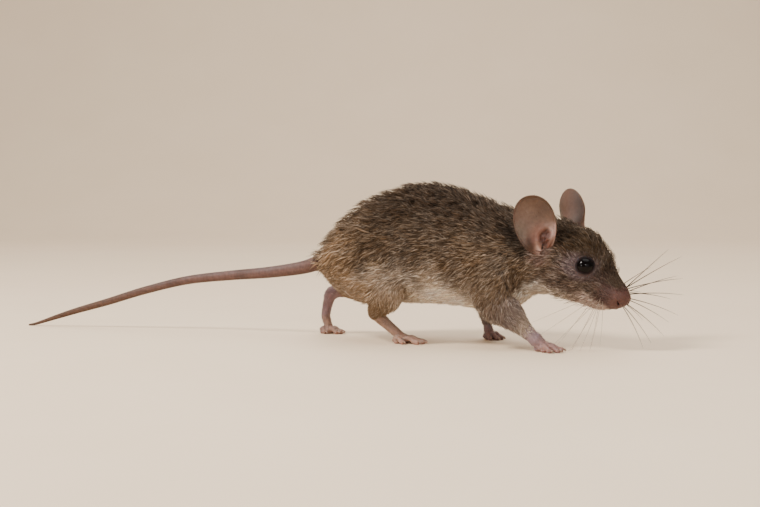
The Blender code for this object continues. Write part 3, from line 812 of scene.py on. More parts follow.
def makeBodySkin():
    # Rings of the trunk and neck and tubes down the limbs, all smaller by the
    # coat's depth, are fused into one skin.
    count = body["count"]
    angle = fullTurn(count)
    place = np.linspace(0.0, napeRow + 7.5, body["rings"])
    inset = body["coatDepth"] + 1.3 * ramp(place, napeRow + 2.2, napeRow + 3.6)
    inset = np.minimum(inset, 0.45 + 5 * place)
    place, angle = np.broadcast_arrays(place[:, None], angle[None])
    rings = bodyPoint(place.ravel(), angle.ravel(), np.repeat(inset, count))
    forms = [turnHead(rings.reshape(*place.shape, 3))]
    forms += [tubeRings(insetLimb(name), body["limbCount"]) for name in limbs]
    piece = fused("skin_body", forms, body["voxel"], body["smoothing"])
    points, normals, triangles = readMesh(piece)
    points = creasesFilled(points, normals, triangles)
    movePoints(piece, points)
    points, normals, triangles = readMesh(piece)
    # bare skin shows more where a limb's fur is thin
    fur = np.ones(len(points))
    for name in limbs:
        place, apart = limbSpot(points, name)[:2]
        fur = np.where(apart < body["limbReach"], np.minimum(fur, limbFur(name, place)), fur)
    addColours(piece, coatColour(points) * (1 - 0.48 * ramp(fur, 0.0, 0.6))[:, None])
    return piece, points, normals, triangles


bodySkin, bodyPoints, bodyNormals, bodyTriangles = makeBodySkin()
print("body skin", len(bodyTriangles), "triangles")

head = {
    "from": napeRow + 2.1,      # the row behind the ears where the head's own skin begins
    "rings": 300,
    "count": 240,
    "eyeSpot": (10.69, 3.29),   # back from the nose and height, as seen from the side
    "mouthHeight": -2.9,
    "mouthSlope": -0.20,
    "nostril": (1.25, -1.20, 0.35),  # back from the tip, height, lean of the slit
}


def headCoordinates(points):
    # How far back from the nose tip points lie, and how high over the axis.
    rel = points - noseTip
    return -(rel @ headAlong), rel @ headUp


def nostrilShape(back, height):
    # An upright comma, widest below: 1 at its edge and 0 in its middle.
    nb, nh, lean = head["nostril"]
    run, off = height - nh, back - nb - lean * (height - nh) - 0.5 * (height - nh) ** 2
    return np.hypot(run / 0.48, off / (0.17 + 0.08 * ramp(-run, -0.3, 0.4)))


def mouthLine(back):
    # The mouth's height is a straight line in the distance back.
    return head["mouthHeight"] + head["mouthSlope"] * back


def headRelief(points):
    # Outward displacement of the head skin in millimetres: sockets and brows, cheeks, whisker
    # pads with rows of follicles, the mouth line, nostrils and the groove under the nose.
    back, height = headCoordinates(points)
    wide = np.abs(points[..., 1])
    rise = 0.30 * bump(back, 3.6, 1.9) * bump(height, -0.6, 1.5) * ramp(wide, 0.8, 2.0)
    rise += 0.25 * bump(back, 10.5, 3.0) * bump(height, -2.6, 1.8)
    rise += 0.22 * bump(back, 12.2, 2.4) * bump(height, 6.3, 1.2)
    rise -= 0.35 * bump(back, 7.4, 1.5) * bump(height, 2.0, 1.5)
    line = mouthLine(back)
    rise -= 0.30 * bump(height, line, 0.18) * ramp(back, 1.2, 2.0) * (1 - ramp(back, 6.0, 7.2))
    rise -= 0.22 * ramp(line - height, 0.0, 0.5) * (1 - ramp(back, 3.0, 6.0))
    rise += 0.20 * bump(back, 2.7, 1.2) * bump(height, -2.6, 0.9)
    slit = nostrilShape(back, height) + 4 * (1 - ramp(wide, 0.5, 0.9))
    rise -= 0.60 * (1 - ramp(slit, 0.4, 1.25))
    rise += 0.16 * bump(slit, 1.9, 0.6) * (1 - ramp(back, 2.6, 3.2))
    rise -= 0.30 * bump(wide, 0.0, 0.20) * (1 - ramp(back, 0.7, 1.7)) * ramp(-height, -0.6, 0.2)
    rise += 0.10 * bump(wide, 0.75, 0.4) * (1 - ramp(back, 0.4, 1.0))
    rise += 0.04 * waves(points, 0.9, 13) * (1 - ramp(back, 2.0, 4.5))
    return rise + 0.07 * follicles(back, height) * ramp(wide, 1.0, 1.8)


def follicles(back, height):
    # Rows of small bumps on the whisker pad, from -1 to 1, gone beyond its edges.
    rows = np.sin((height + 0.25 * back) * 2 * math.pi / 0.75) * np.sin(back * 2 * math.pi / 0.8)
    return rows * bump(back, 4.8, 2.0) * bump(height, -1.1, 1.5)


def headColour(points):
    # Dark crown and muzzle top, buff cheeks, cream throat, pink about the nose and lips.
    back, height = headCoordinates(points)
    wander = 0.5 * waves(points, 5.0, 11)
    h = height + wander
    # the pale throat is narrower toward the neck
    line = -2.6 - 0.20 * np.clip(back - 9.0, 0, 9.0)
    low = 1 - ramp(h, line - 1.3, line + 0.9)
    pink = (1 - ramp(back + 0.4 * wander, 4.4, 6.6)) * (1 - ramp(height + 0.3 * wander, 0.9, 2.0))
    haze = bump(back, 6.8, 1.9) * bump(height, 1.9, 1.5)
    # darker patches below the eye and behind it
    below = bump(back, 8.8, 1.5) * bump(height, 0.1, 1.0)
    behind = bump(back, 12.0, 2.8) * bump(height, -0.2, 1.2)
    lip = (1 - ramp(h, -3.3, -2.1)) * (1 - ramp(back, 8.5, 11.5)) * ramp(back, 2.4, 3.8)
    colour = painted(palette["cheek"], palette,
                     ("crown", ramp(h, 2.6, 5.2) * ramp(back, 6.0, 10.0)),
                     ("muzzleTop", ramp(h - 0.04 * back, 0.7, 2.0) * (1 - ramp(back, 7.0, 10.0))),
                     ("throat", low * ramp(back, 3.0, 7.0)), ("muzzlePink", pink),
                     ("haze", 0.6 * haze), ("crown", 0.65 * below), ("crown", 0.35 * behind),
                     ("lip", lip), ("nosePink", 1 - ramp(back, 0.8, 3.2)))
    colour = colour * (1 - 0.62 * ramp(-follicles(back, height), 0.22, 0.6))[..., None]
    # mauve-grey about the eye, wider behind and below it
    eyeBack, eyeHeight = head["eyeSpot"]
    eye = np.hypot((back - eyeBack) * 0.9 - 0.35, (height - eyeHeight) * 1.15 + 0.6)
    # painted shade inside the nostrils
    within = 1 - ramp(nostrilShape(back, height), 0.5, 1.1)
    colour = painted(colour, palette, ("nostril", within * ramp(np.abs(points[..., 1]), 0.5, 0.9)),
                     ("eyeRing", 0.9 * (1 - ramp(eye, 2.0, 3.7))))
    return earShadowAndPink(colour, points, 0.8)


def neckShare(row):
    # 0 on the trunk and 1 on the face.
    return ramp(row, napeRow + 1.2, napeRow + 3.4)


def socketRelief(points, normals, side):
    # Which way an eye faces, and the relief about it: a raised rim, the socket within it, a
    # brow above and a hollow below.
    centre = mirrored(eyes["centre"], side)
    axis = unit(normals[np.linalg.norm(points - centre, axis=1).argmin()])
    rel = points - centre
    along = rel @ axis
    out = np.linalg.norm(rel - along[:, None] * axis, axis=1)
    lift = 0.26 * bump(out, 2.35, 0.6) - 1.6 * (1 - ramp(out, 1.35, 1.95))
    lift += 0.22 * bump(out, 3.2, 0.8) * ramp(rel @ headUp, 0.0, 2.2)
    lift -= 0.16 * bump(out, 3.3, 0.7) * ramp(-(rel @ headUp), 0.0, 2.2)
    return axis, np.where(along > -1.0, lift, 0.0)


def makeHeadSkin():
    # The head's rings, smaller by the fur's depth, move along their normals by
    # the relief.
    rings, count = head["rings"], head["count"]
    # rings crowd toward the nose
    t = np.linspace(0, 1, rings)
    place = head["from"] + (len(bodyRows) - 1 - head["from"]) * (1 - (1 - t) ** 1.35)
    angle = fullTurn(count)
    back = np.interp(place, np.arange(len(bodyRows))[napeRow + 1:],
                     [row[0] for row in body["head"]])
    inset = body["faceDepth"] * ramp(back, 0.6, 5.0) + 0.02
    inset = inset + (body["coatDepth"] - body["faceDepth"]) * ramp(back, 13.0, 18.0)
    inset = inset + 2.2 * (1 - ramp(place, head["from"], head["from"] + 0.55))
    placeGrid, angleGrid = np.broadcast_arrays(place[:, None], angle[None])
    grid = bodyPoint(placeGrid.ravel(), angleGrid.ravel(), np.repeat(inset, count))
    grid = grid.reshape(rings, count, 3)
    # the last rings round off over the tip of the nose
    cap = np.linspace(0, math.pi / 2, 16)[1:-1]
    edge, middle = grid[-1], grid[-1].mean(0)
    capRings = (middle + (edge - middle)[None] * np.cos(cap)[:, None, None]
                + headAlong * (0.35 * np.sin(cap))[:, None, None])
    grid = np.concatenate([grid, capRings])
    du = np.gradient(grid, axis=0)
    dv = np.roll(grid, -1, 1) - np.roll(grid, 1, 1)
    normals = unit(np.cross(dv, du))
    if dots(normals[50], grid[50] - grid[50].mean(0)).mean() < 0:
        normals = -normals
    flat, flatNormals = grid.reshape(-1, 3), normals.reshape(-1, 3)
    rise = headRelief(flat)
    eyeAxes = {}
    for label, side in sides:
        eyeAxes[label], lift = socketRelief(flat, flatNormals, side)
        rise = rise + lift
    shaped = flat + flatNormals * rise[:, None]
    local, quads, tips = closedGrid(shaped.reshape(grid.shape))
    piece = makeMesh("skin_head", turnHead(local), quads, tips)
    # the skin under the fur is darker than the fur
    bare = 1 - ramp(headCoordinates(local)[0], 2.2, 4.2)
    addColours(piece, headColour(local) * (0.6 + 0.4 * bare)[:, None])
    return piece, local, eyeAxes


headSkin, headLocal, eyeAxes = makeHeadSkin()
headNormals, headTriangles = readMesh(headSkin)[1:]
print("head skin", len(headTriangles), "triangles")


lid = {
    "opening": 1.56,
    "corner": 0.16,      # how far the front corner is drawn out
    "squash": 0.12,      # and how much the opening is flattened
    "width": 0.74,
    "roll": 0.07,        # height of the rolled edge over the eyeball
    "drop": 1.13,        # how far the outer edge lies behind the opening
    "thickness": 0.25,
    "gap": 0.03,
    "cornerAngle": math.radians(-25),
    # painted shade darkens the upper lid by this share
    "paintedShadeAbove": 0.72,
    "count": 96,
    "rings": 14,
}


def eyeFrame(label, side):
    # The middle of an eye, the way it faces, and the level and upright ways across that.
    axis = eyeAxes[label]
    level = unit(np.cross(axis, headUp) * -side)
    upward = unit(np.cross(level, axis) * side)
    if upward @ headUp < 0:
        upward = -upward
    return mirrored(eyes["centre"], side), axis, level, upward


def makeEyeball(label, side):
    # A sphere: the radius times cos(tilt) along the axis and sin(tilt) around it.
    centre, axis, level, upward = eyeFrame(label, side)
    tilt = np.linspace(0.02, math.pi - 0.02, eyes["rings"])[:, None]
    spin = fullTurn(eyes["count"])[None]
    ball = (centre + eyes["radius"] * (np.cos(tilt)[..., None] * axis
                                       + (np.sin(tilt) * np.cos(spin))[..., None] * level
                                       + (np.sin(tilt) * np.sin(spin))[..., None] * upward))
    points, quads, tips = closedGrid(ball)
    points = points - centre + turnHead(centre[None])[0]
    piece = makeMesh("eyeball_" + label, points, quads, tips)
    settle(piece, "eye", materials["eye"], "eye_" + label)


def makeLid(label, side):
    # A ring carried round the opening, whose section rises from the eyeball's surface, rolls
    # over, runs out into the skin and comes back a little deeper.
    centre, axis, level, upward = eyeFrame(label, side)
    turn = fullTurn(lid["count"])
    corner = lid["corner"] * bump(np.cos(turn - lid["cornerAngle"]), 1.0, 0.25)
    opening = lid["opening"] * (1 + corner) - lid["squash"] * np.abs(np.sin(turn))
    radius = eyes["radius"]
    over = np.sqrt(np.maximum(radius**2 - np.minimum(opening, radius - lid["gap"]) ** 2, 0.01))
    section = np.linspace(0, 1, lid["rings"])
    under = section[::-1][1:-1]
    out = opening[None] + lid["width"] * section[:, None] ** 1.2
    rise = over[None] + lid["gap"] + lid["roll"] * np.sin(section * math.pi * 0.95)[:, None]
    rise = rise - lid["drop"] * section[:, None] ** 1.5
    outBack = opening[None] + lid["width"] * under[:, None] ** 1.2 - 0.02
    riseBack = over[None] + lid["gap"] - lid["thickness"] - lid["drop"] * under[:, None] ** 1.3
    out, rise = np.vstack([out, outBack]), np.vstack([rise, riseBack])
    ring = (centre + rise[..., None] * axis + (out * np.cos(turn))[..., None] * level
            + (out * np.sin(turn))[..., None] * upward)
    rows, count = ring.shape[:2]
    faces = gridFaces(rows + 1, count) % (rows * count)
    piece = makeMesh("eyelid_" + label, turnHead(ring.reshape(-1, 3)), faces)
    shade = np.repeat(np.concatenate([section, under]), count)
    colours = mixed(palette["eyeRing"] * 0.12, palette["eyeRing"] * 0.68,
                    ramp(shade, 0.30, 0.95))
    # painted shade: the upper lid is darker
    upper = ramp(np.tile(np.sin(turn), rows), -0.2, 0.7)
    addColours(piece, colours * (1 - lid["paintedShadeAbove"] * upper)[:, None])
    settle(piece, "coat_head", materials["lid"])


for label, side in sides:
    makeEyeball(label, side)
    makeLid(label, side)
print("eyes and lids made")


ear = {
    "centre": (24.8, 9.5, 27.65),
    "axis": (-0.31, 0.06, 0.95),
    "forward": math.radians(31.0),
    "halfLength": 6.7,
    "halfWidth": 4.6,
    "egg": 0.16,
    "depth": 2.0,
    "rimThickness": 0.34,
    "faceShare": 0.985,            # the two faces reach this far to the rim
    "count": 190,
    "rings": 90,
    "rimRings": 9,
    "root": (-0.6, -3.9, 4.2, 2.1),
    "canal": (-1.35, -3.25),       # middle of the canal's opening
    "canalWay": (0.42, -0.91),      # it runs down and back
    "canalHalf": (1.12, 2.0),
    "slit": (-0.22, -4.85, 0.22, 0.60),  # the slit at its lower end, darkened by painted shade, half sizes
    "inner": (0.174, 0.112, 0.088),
    "innerDark": (0.070, 0.037, 0.022),
    "innerLow": (0.124, 0.050, 0.034),
    "fold": (0.132, 0.057, 0.040),
    # the pit's colour and the slit's darkest colour are painted shade in the canal
    "pit": (0.085, 0.038, 0.031),
    "canalShade": (0.035, 0.014, 0.010),
    "paleEdge": (0.195, 0.150, 0.120),
    "lobe": (0.560, 0.385, 0.340),
    "rim": (0.085, 0.048, 0.032),
    "outer": (0.094, 0.053, 0.039),
    "outerFoot": (0.118, 0.036, 0.022),
}


def earBasis(side):
    # Three unit ways: across the ear, along it, and the way its hollow faces.
    axis = unit(mirrored(ear["axis"], side))
    face = np.array([math.sin(ear["forward"]), side * math.cos(ear["forward"]), 0.0])
    face = unit(face - axis * (face @ axis))
    across = np.cross(axis, face) * side
    return np.array([across, axis, face])


def earSheet(share, spin, inside):
    # A cup over an egg-shaped rim: depth falls as 1 - share squared. Its inner face holds the
    # pit of the canal and the folds round it; its outer face swells into the root.
    # Returns where each point lies across and along the ear and in depth, and on the inner
    # face how much it is of the slit's painted shade, of a fold and of the pit.
    out = share * ear["halfWidth"] * np.sin(spin) * (1 + ear["egg"] * np.cos(spin))
    along = share * ear["halfLength"] * np.cos(spin)
    depth = ear["depth"] * (1 - share**2)
    thick = ear["rimThickness"] * (1 + 0.8 * (1 - share))
    # u runs along the canal's opening, v across it; both in half widths
    fromCanal = np.stack([out - ear["canal"][0], along - ear["canal"][1]], -1)
    way = np.array(ear["canalWay"])
    u = (fromCanal @ way) / ear["canalHalf"][1]
    v = (fromCanal @ (-way[1], way[0])) / (ear["canalHalf"][0] * (1 - 0.30 * np.clip(u, -1, 1)))
    turn = np.arctan2(v, -u)
    ellipse = np.hypot(u, v) * (1 + 0.12 * np.sin(2 * turn + 0.6) + 0.09 * np.sin(3 * turn))
    # the lower rim and the front margin bend in to the head
    bend = 2.9 * ramp(-along, 3.0, 6.6) + 0.9 * ramp(-out, 1.6, 4.0) * ramp(-along, -2.0, 3.0)
    if not inside:
        rootOut, rootAlong, reach, spread = ear["root"]
        root = np.exp(-((out - rootOut) ** 2 + (along - rootAlong) ** 2) / (2 * spread**2))
        none = 0 * share
        return out, along, depth + thick / 2 + reach * root + bend, none, none, none
    slitOut, slitAlong, slitWide, slitLong = ear["slit"]
    below = along - slitAlong
    aside = (out - slitOut) + 0.30 * below + 0.10 * np.sin(below * 2.6)
    slit = np.hypot(aside / slitWide, below / slitLong)
    flat = np.stack([out, along, 0 * out], -1)
    hollow = 1 - ramp(ellipse, 0.55, 1.15)
    pit = hollow * (0.50 + 0.14 * waves(flat, 1.3, 27) + 0.08 * waves(flat, 0.6, 28))
    pit = pit + 1.3 * (1 - ramp(slit, 0.35, 1.3))
    shelf = bump(ellipse, 0.86, 0.16) * ramp(-u, -0.1, 0.6) * ramp(v, -0.6, 0.2)
    pit = pit + 0.30 * shelf
    # a fold crosses the hollow from its front edge
    crus = bump(u - 0.25 - 0.30 * v, 0.0, 0.22) * ramp(-v, -0.2, 0.4) * hollow
    pit = pit - 0.40 * crus
    rear, upper = ramp(v, -0.2, 0.9), ramp(-u, -0.5, 0.7)
    fold = 0.16 * bump(ellipse, 1.38, 0.30) * np.maximum(rear * ramp(-u, -0.4, 0.3), upper)
    fold += 0.50 * bump(ellipse, 1.34, 0.28) * rear * ramp(u, -0.1, 0.6)
    fold += 0.40 * bump(ellipse, 1.45, 0.40) * ramp(-v, 0.2, 1.0) * ramp(u, -1.1, -0.1)
    conch = 0.26 * bump(np.hypot((out + 0.2) / 2.9, (along + 2.9) / 3.3), 1.0, 0.22)
    crease = 0.06 * bump(out - 1.9 + 0.12 * along, 0.0, 0.5) * ramp(-along, -3.0, 1.0)
    helix = 0.16 * bump(share, 0.965, 0.03) - 0.10 * bump(share, 0.90, 0.035)
    height = depth - thick / 2 + pit - fold - conch * ramp(-along, -1.0, 3.0) - helix + crease
    # painted shade in the canal's slit and under its shelf
    dark = np.maximum(1 - ramp(slit, 0.5, 1.25), 0.38 * shelf)
    return out, along, height + bend, dark, fold, np.clip(hollow * (1 - 0.6 * crus), 0, 1)


def earInside(share, spin, out, along, dark, fold, pit):
    # Darker toward the upper front, warmer toward the canal, pale at the lobe and front edge, with
    # painted shade low on the rear of the hollow and in the canal's pit and slit.
    low = 0.85 * (1 - ramp(np.hypot(out + 1.0, along + 3.6), 2.0, 5.0))
    low = low * (1 - 0.6 * ramp(-out, 1.4, 2.4))
    pale = ramp(out, 1.2, 3.8) * ramp(-along, -3.5, -0.5) * (1 - ramp(-along, 0.8, 2.8))
    colour = painted(np.array(ear["inner"]), ear,
                     ("innerDark", 0.75 * ramp(0.30 * along - 0.42 * out, -0.6, 2.2)),
                     ("innerLow", low), ("paleEdge", 0.7 * pale))
    # painted shade on the rear of the lower hollow
    shade = ramp(out, 1.0, 2.2) * bump(along, -3.7, 2.3)
    colour = colour * (1 - 0.50 * shade)[..., None]
    lobe = bump(out, 0.55, 0.85) * bump(along, -5.1, 1.35)
    front = ramp(-out, 1.8, 3.1) * ramp(-along, 0.0, 2.0)
    colour = painted(colour, ear, ("lobe", 0.95 * lobe), ("lobe", 0.62 * front))
    colour = colour * (1 + 0.14 * waves(np.stack([out, along, 0 * out], -1), 5.0, 21))[..., None]
    # painted shade in the canal's pit and slit
    return painted(colour, ear, ("fold", np.clip(fold * 1.9, 0, 0.6)), ("pit", pit),
                   ("canalShade", dark),
                   ("rim", 0.75 * ramp(share, 0.955, 0.99) * ramp(np.cos(spin), -0.7, 0.1)))


def earOutside(out, along):
    # Veins, redder at the foot, and painted shade darker toward both edges of the rounded back, so
    # the middle looks lit.
    veins = ramp(waves(np.stack([out, along * 0.35, 0 * out], -1), 2.2, 33), 0.5, 1.8)
    colour = np.array(ear["outer"]) * (1 - 0.25 * veins)[..., None]
    colour = mixed(colour, ear["outerFoot"], ramp(-along, 1.0, 4.5))
    # painted shade toward the edges, lighter in the middle
    return colour * (1.16 - 0.66 * ramp(np.abs(out + 0.2), 1.2, 4.2))[..., None]


def makeEar(label, side):
    # The inner face, a half-round rim and the outer face are one closed grid.
    count, faceShare = ear["count"], ear["faceShare"]
    spin = fullTurn(count)[None]
    share = (1 - (1 - np.linspace(0.0, 1.0, ear["rings"])) ** 1.3)[1:]
    inner = earSheet(share[:, None] * faceShare + 0 * spin, spin, True)
    outer = earSheet(share[::-1][:, None] * faceShare + 0 * spin, spin, False)
    # the rim is a half round between the two faces
    bend = np.linspace(-math.pi / 2, math.pi / 2, ear["rimRings"])[:, None]
    edge = earSheet(1 + 0 * spin, spin, False)
    half = ear["rimThickness"] / 2
    grow = faceShare + 0.015 * np.cos(bend)
    rim = (edge[0] * grow, edge[1] * grow, half * np.sin(bend) + edge[2] - half)
    out, along, height = (np.vstack([inner[k], rim[k], outer[k]]) for k in range(3))
    local = np.stack([out, along, -height], -1)
    grid = mirrored(ear["centre"], side) + local @ earBasis(side)
    # the left ear is pricked a little further forward
    grid = grid + np.multiply.outer(ramp(along, -6.0, 2.0) * (side > 0), [0.45, 0.0, 0.22])
    points, quads, tips = closedGrid(grid)
    piece = makeMesh("ear_shell_" + label, turnHead(points), quads, tips)

    inside = earInside(share[:, None] + 0 * spin, spin, *inner[:2], *inner[3:])
    rimShare = 0.6 * ramp(np.cos(spin), -0.7, 0.1) + 0 * bend
    colour = np.concatenate([inside, mixed(ear["outer"], ear["rim"], rimShare),
                             earOutside(*outer[:2])])
    addColours(piece, np.vstack([colour.reshape(-1, 3), colour[0].mean(0), colour[-1].mean(0)]))
    # for the down: where each point lies on the ear, and 1 on the outer face
    face = np.concatenate([np.zeros(len(share)), np.full(len(bend), 0.5), np.ones(len(share))])
    reach = np.hypot(out / ear["halfWidth"], along / ear["halfLength"])
    spots = np.stack([out.ravel(), along.ravel(), reach.ravel(), np.repeat(face, count)], -1)
    spots = np.vstack([spots, spots[0], spots[-1]])
    points, normals, triangles = readMesh(piece)
    settle(piece, "skin_ear", materials["ear"], "ear_" + label)
    return points, normals, triangles, spots


ears = {label: makeEar(label, side) for label, side in sides}
earWays = {label: earBasis(side)[1] for label, side in sides}
print("ears made")


toes = {  # offset across, set back, length, splay in degrees, from the inner side outward
    "hind": [(-1.5, 1.7, 3.0, 22.0), (-0.95, 0.2, 5.0, 8.0), (0.0, 0.0, 5.5, 0.0),
             (0.95, 0.2, 5.1, -8.0), (1.5, 1.5, 3.3, -22.0)],
    "fore": [(-1.2, 0.4, 3.1, 26.0), (-0.45, 0.0, 3.9, 9.0), (0.45, 0.0, 3.9, -9.0),
             (1.2, 0.4, 3.1, -26.0)],
}
foot = {
    "voxel": 0.15,
    "toeRadius": 0.61,
    "ball": (1.7, 1.9, 1.15),      # half sizes
    "toePad": (0.62, 0.5, 0.46),
    "heelPad": (0.9, 0.9, 0.66),
    "legCount": 28,
    "toeCount": 20,
    "toeRings": 26,
    "smoothing": 2,
    "clawLength": 0.95,
    "clawRadius": 0.15,
    "clawCount": 10,
    "clawRings": 9,
    "claw": (0.26, 0.17, 0.13),
}


def toePath(root, way, reach):
    # A toe rises over its knuckle, dips to the last joint and ends in a rounded pad.
    share = np.linspace(0, 1, foot["toeRings"])
    height = (0.98 + 0.30 * bump(share, 0.36, 0.20) - 0.50 * ramp(share, 0.5, 0.9))
    width = (1.0 - 0.16 * bump(share, 0.6, 0.10) - 0.10 * bump(share, 0.2, 0.1)
             + 0.14 * bump(share, 0.9, 0.09) + 0.06 * bump(share, 0.4, 0.07))
    width = width * np.sqrt(np.clip(1 - ramp(share, 0.9, 1.06) ** 2, 0.1, 1))
    path = root[None] + np.multiply.outer(share, way) * reach
    radius = foot["toeRadius"] * width * 0.9
    return np.column_stack([path, height, radius * 0.92, radius])


def footColour(points, name, ahead):
    # The limb's colour gives way to the paw's toward the toes and the floor; the left feet are
    # darkened by painted shade.
    legName, centre, _, kind, scale = feet[name][:5]
    colour = limbColour(legName, limbSpot(points, legName)[0], points)
    reach = 5.0 if kind == "hind" else 2.4
    toward = ramp((points[:, :2] - np.array(centre[:2])) @ ahead, -reach * scale, 0.6)
    low = 1 - ramp(points[:, 2], 0.6 + 0.6 * reach, 2.2 + 0.6 * reach)
    paw = palette["hindPaw" if kind == "hind" else "pawPink"]
    colour = mixed(colour, paw, toward * low)
    colour = mixed(colour, paw * (0.8, 0.62, 0.60), 1 - ramp(points[:, 2], 0.05, 0.5))
    colour = colour * (1 + 0.08 * waves(points, 1.6, 41))[:, None]
    # painted shade on the far, left feet
    return colour * (0.8 if centre[1] > 0 else 1.0)


def makeFoot(name):
    # The leg's end, ball, toes, their pads and the heel are fused into one skin.
    legName, centre, heading, kind, scale, start, bare = feet[name]
    rows = np.array(limbs[legName])
    place = np.linspace(start, len(rows) - 1, 40)
    shank = rowsAt(rows, place)
    # a little inside the furred limb's skin until that ends
    within = 0.12 * (1 - ramp(place, bare - 0.4, bare))
    shank[:, 3:] -= (limbInset(legName, place) + within)[:, None]
    shank[:, 3:] = np.maximum(shank[:, 3:], 0.6)
    end = np.array([[*centre, 1.5 * scale, 0.95]])
    down = rowsAt(np.vstack([shank[::4], end]), np.linspace(0, 10, 50))
    forms = [tubeRings(down, foot["legCount"])]
    size = np.array(foot["ball"]) * (0.6 + 0.4 * scale)
    tilt = np.linspace(0.05, math.pi - 0.05, 20)[:, None]
    spin = fullTurn(foot["legCount"])[None]
    ball = np.stack([np.sin(tilt) * np.cos(spin), np.sin(tilt) * np.sin(spin),
                     np.cos(tilt) + 0 * spin], -1)
    forms.append(np.array([centre[0], centre[1], size[2] - 0.08]) + ball * size)
    outer = -1 if centre[1] < 0 else 1
    aim = math.radians(heading)
    ahead = np.array([math.cos(aim), math.sin(aim)])
    aside = np.array([-math.sin(aim), math.cos(aim)]) * outer
    tips = []
    for across, back, length, splay in toes[kind]:
        turn = math.radians(heading - outer * splay)
        way = np.array([math.cos(turn), math.sin(turn)])
        root = np.array(centre[:2]) - back * ahead + across * scale * aside
        path = toePath(root, way, length * scale)
        forms.append(tubeRings(path, foot["toeCount"]))
        # a pad under the base of each toe
        pad = root + way * 0.9 * scale
        forms.append(np.array([pad[0], pad[1], 0.42]) + ball * foot["toePad"])
        tips.append((path[-1], way))
    heel = np.array(centre[:2]) - ahead * 1.6 * scale
    heelSize = ball * foot["heelPad"] * (0.6 + 0.4 * scale)
    forms.append(np.array([heel[0], heel[1], 0.62]) + heelSize)
    piece = fused(name + "_skin", forms, foot["voxel"], foot["smoothing"])
    points, normals, triangles = readMesh(piece)
    # what would press into the floor is flattened over it
    z = points[:, 2]
    points[:, 2] = np.where(z < 0.1, 0.02 + 0.08 * np.tanh(z / 0.3).clip(0), z)
    movePoints(piece, points)
    addColours(piece, footColour(points, name, ahead))
    settle(piece, "skin_foot", materials["foot"], name)
    makeClaws(name, tips)
    return points, normals, triangles


def makeClaws(name, tips):
    # Each claw is a cone carried along a quarter arc that dips toward the floor.
    grids = []
    t = np.linspace(0, 1, foot["clawRings"])
    for tip, way in tips:
        out = foot["clawLength"] * (np.sin(t * 1.25) / math.sin(1.25)) - 0.42
        high = tip[2] + 0.16 + 0.10 * np.sin(t * math.pi) - 0.34 * t**2
        radius = foot["clawRadius"] * (1 - t) ** 0.75 + 0.012
        path = np.column_stack([tip[0] + way[0] * out, tip[1] + way[1] * out,
                                np.maximum(high, 0.03), radius, radius * 1.2])
        grids.append(closedGrid(tubeRings(path, foot["clawCount"])))
    points, quads, caps = joined(grids)
    points[:, 2] = np.maximum(points[:, 2], 0.004)
    claws = makeMesh(name + "_claws", points, quads, caps)
    addColours(claws, np.broadcast_to(np.array(foot["claw"]), points.shape))
    settle(claws, "skin_foot", materials["claw"])


footSkins = {name: makeFoot(name) for name in feet}
print("feet and claws made")


tail = {
    "rows": [  # x, y, z, radius
        (-30.6, 0.0, 18.0, 1.85), (-33.4, 0.0, 17.1, 1.74), (-37.5, 0.0, 15.95, 1.55),
        (-46.0, 0.0, 14.7, 1.36), (-55.9, -0.1, 13.75, 1.2), (-67.5, -0.4, 12.3, 1.06),
        (-79.1, -0.9, 9.5, 0.98), (-89.0, -1.6, 6.5, 0.9), (-97.3, -2.3, 4.15, 0.77),
        (-102.6, -3.0, 2.5, 0.62), (-106.4, -3.5, 1.25, 0.46), (-108.8, -3.8, 0.5, 0.36),
        (-110.6, -4.0, 0.16, 0.26),
    ],
    "sides": 28,
    "scalePitch": 0.42,
    "ringsPerScale": 4,
    "scaleDepth": 0.035,
    # painted light: the top is lighter and the underside darker, as if lit from above
    "top": (0.118, 0.076, 0.072),
    "side": (0.118, 0.064, 0.055),
    "below": (0.084, 0.041, 0.031),
    "end": (0.075, 0.038, 0.020),
}


def tailPath(count):
    # Rows at even distances along the tail, and those distances.
    rows = np.array(tail["rows"])
    fine = rowsAt(rows, np.linspace(0, len(rows) - 1, 400))
    reach = np.concatenate([[0], np.cumsum(np.linalg.norm(np.diff(fine[:, :3], axis=0), axis=1))])
    at = np.linspace(0, reach[-1], count)
    return np.column_stack([np.interp(at, reach, fine[:, k]) for k in range(4)]), at


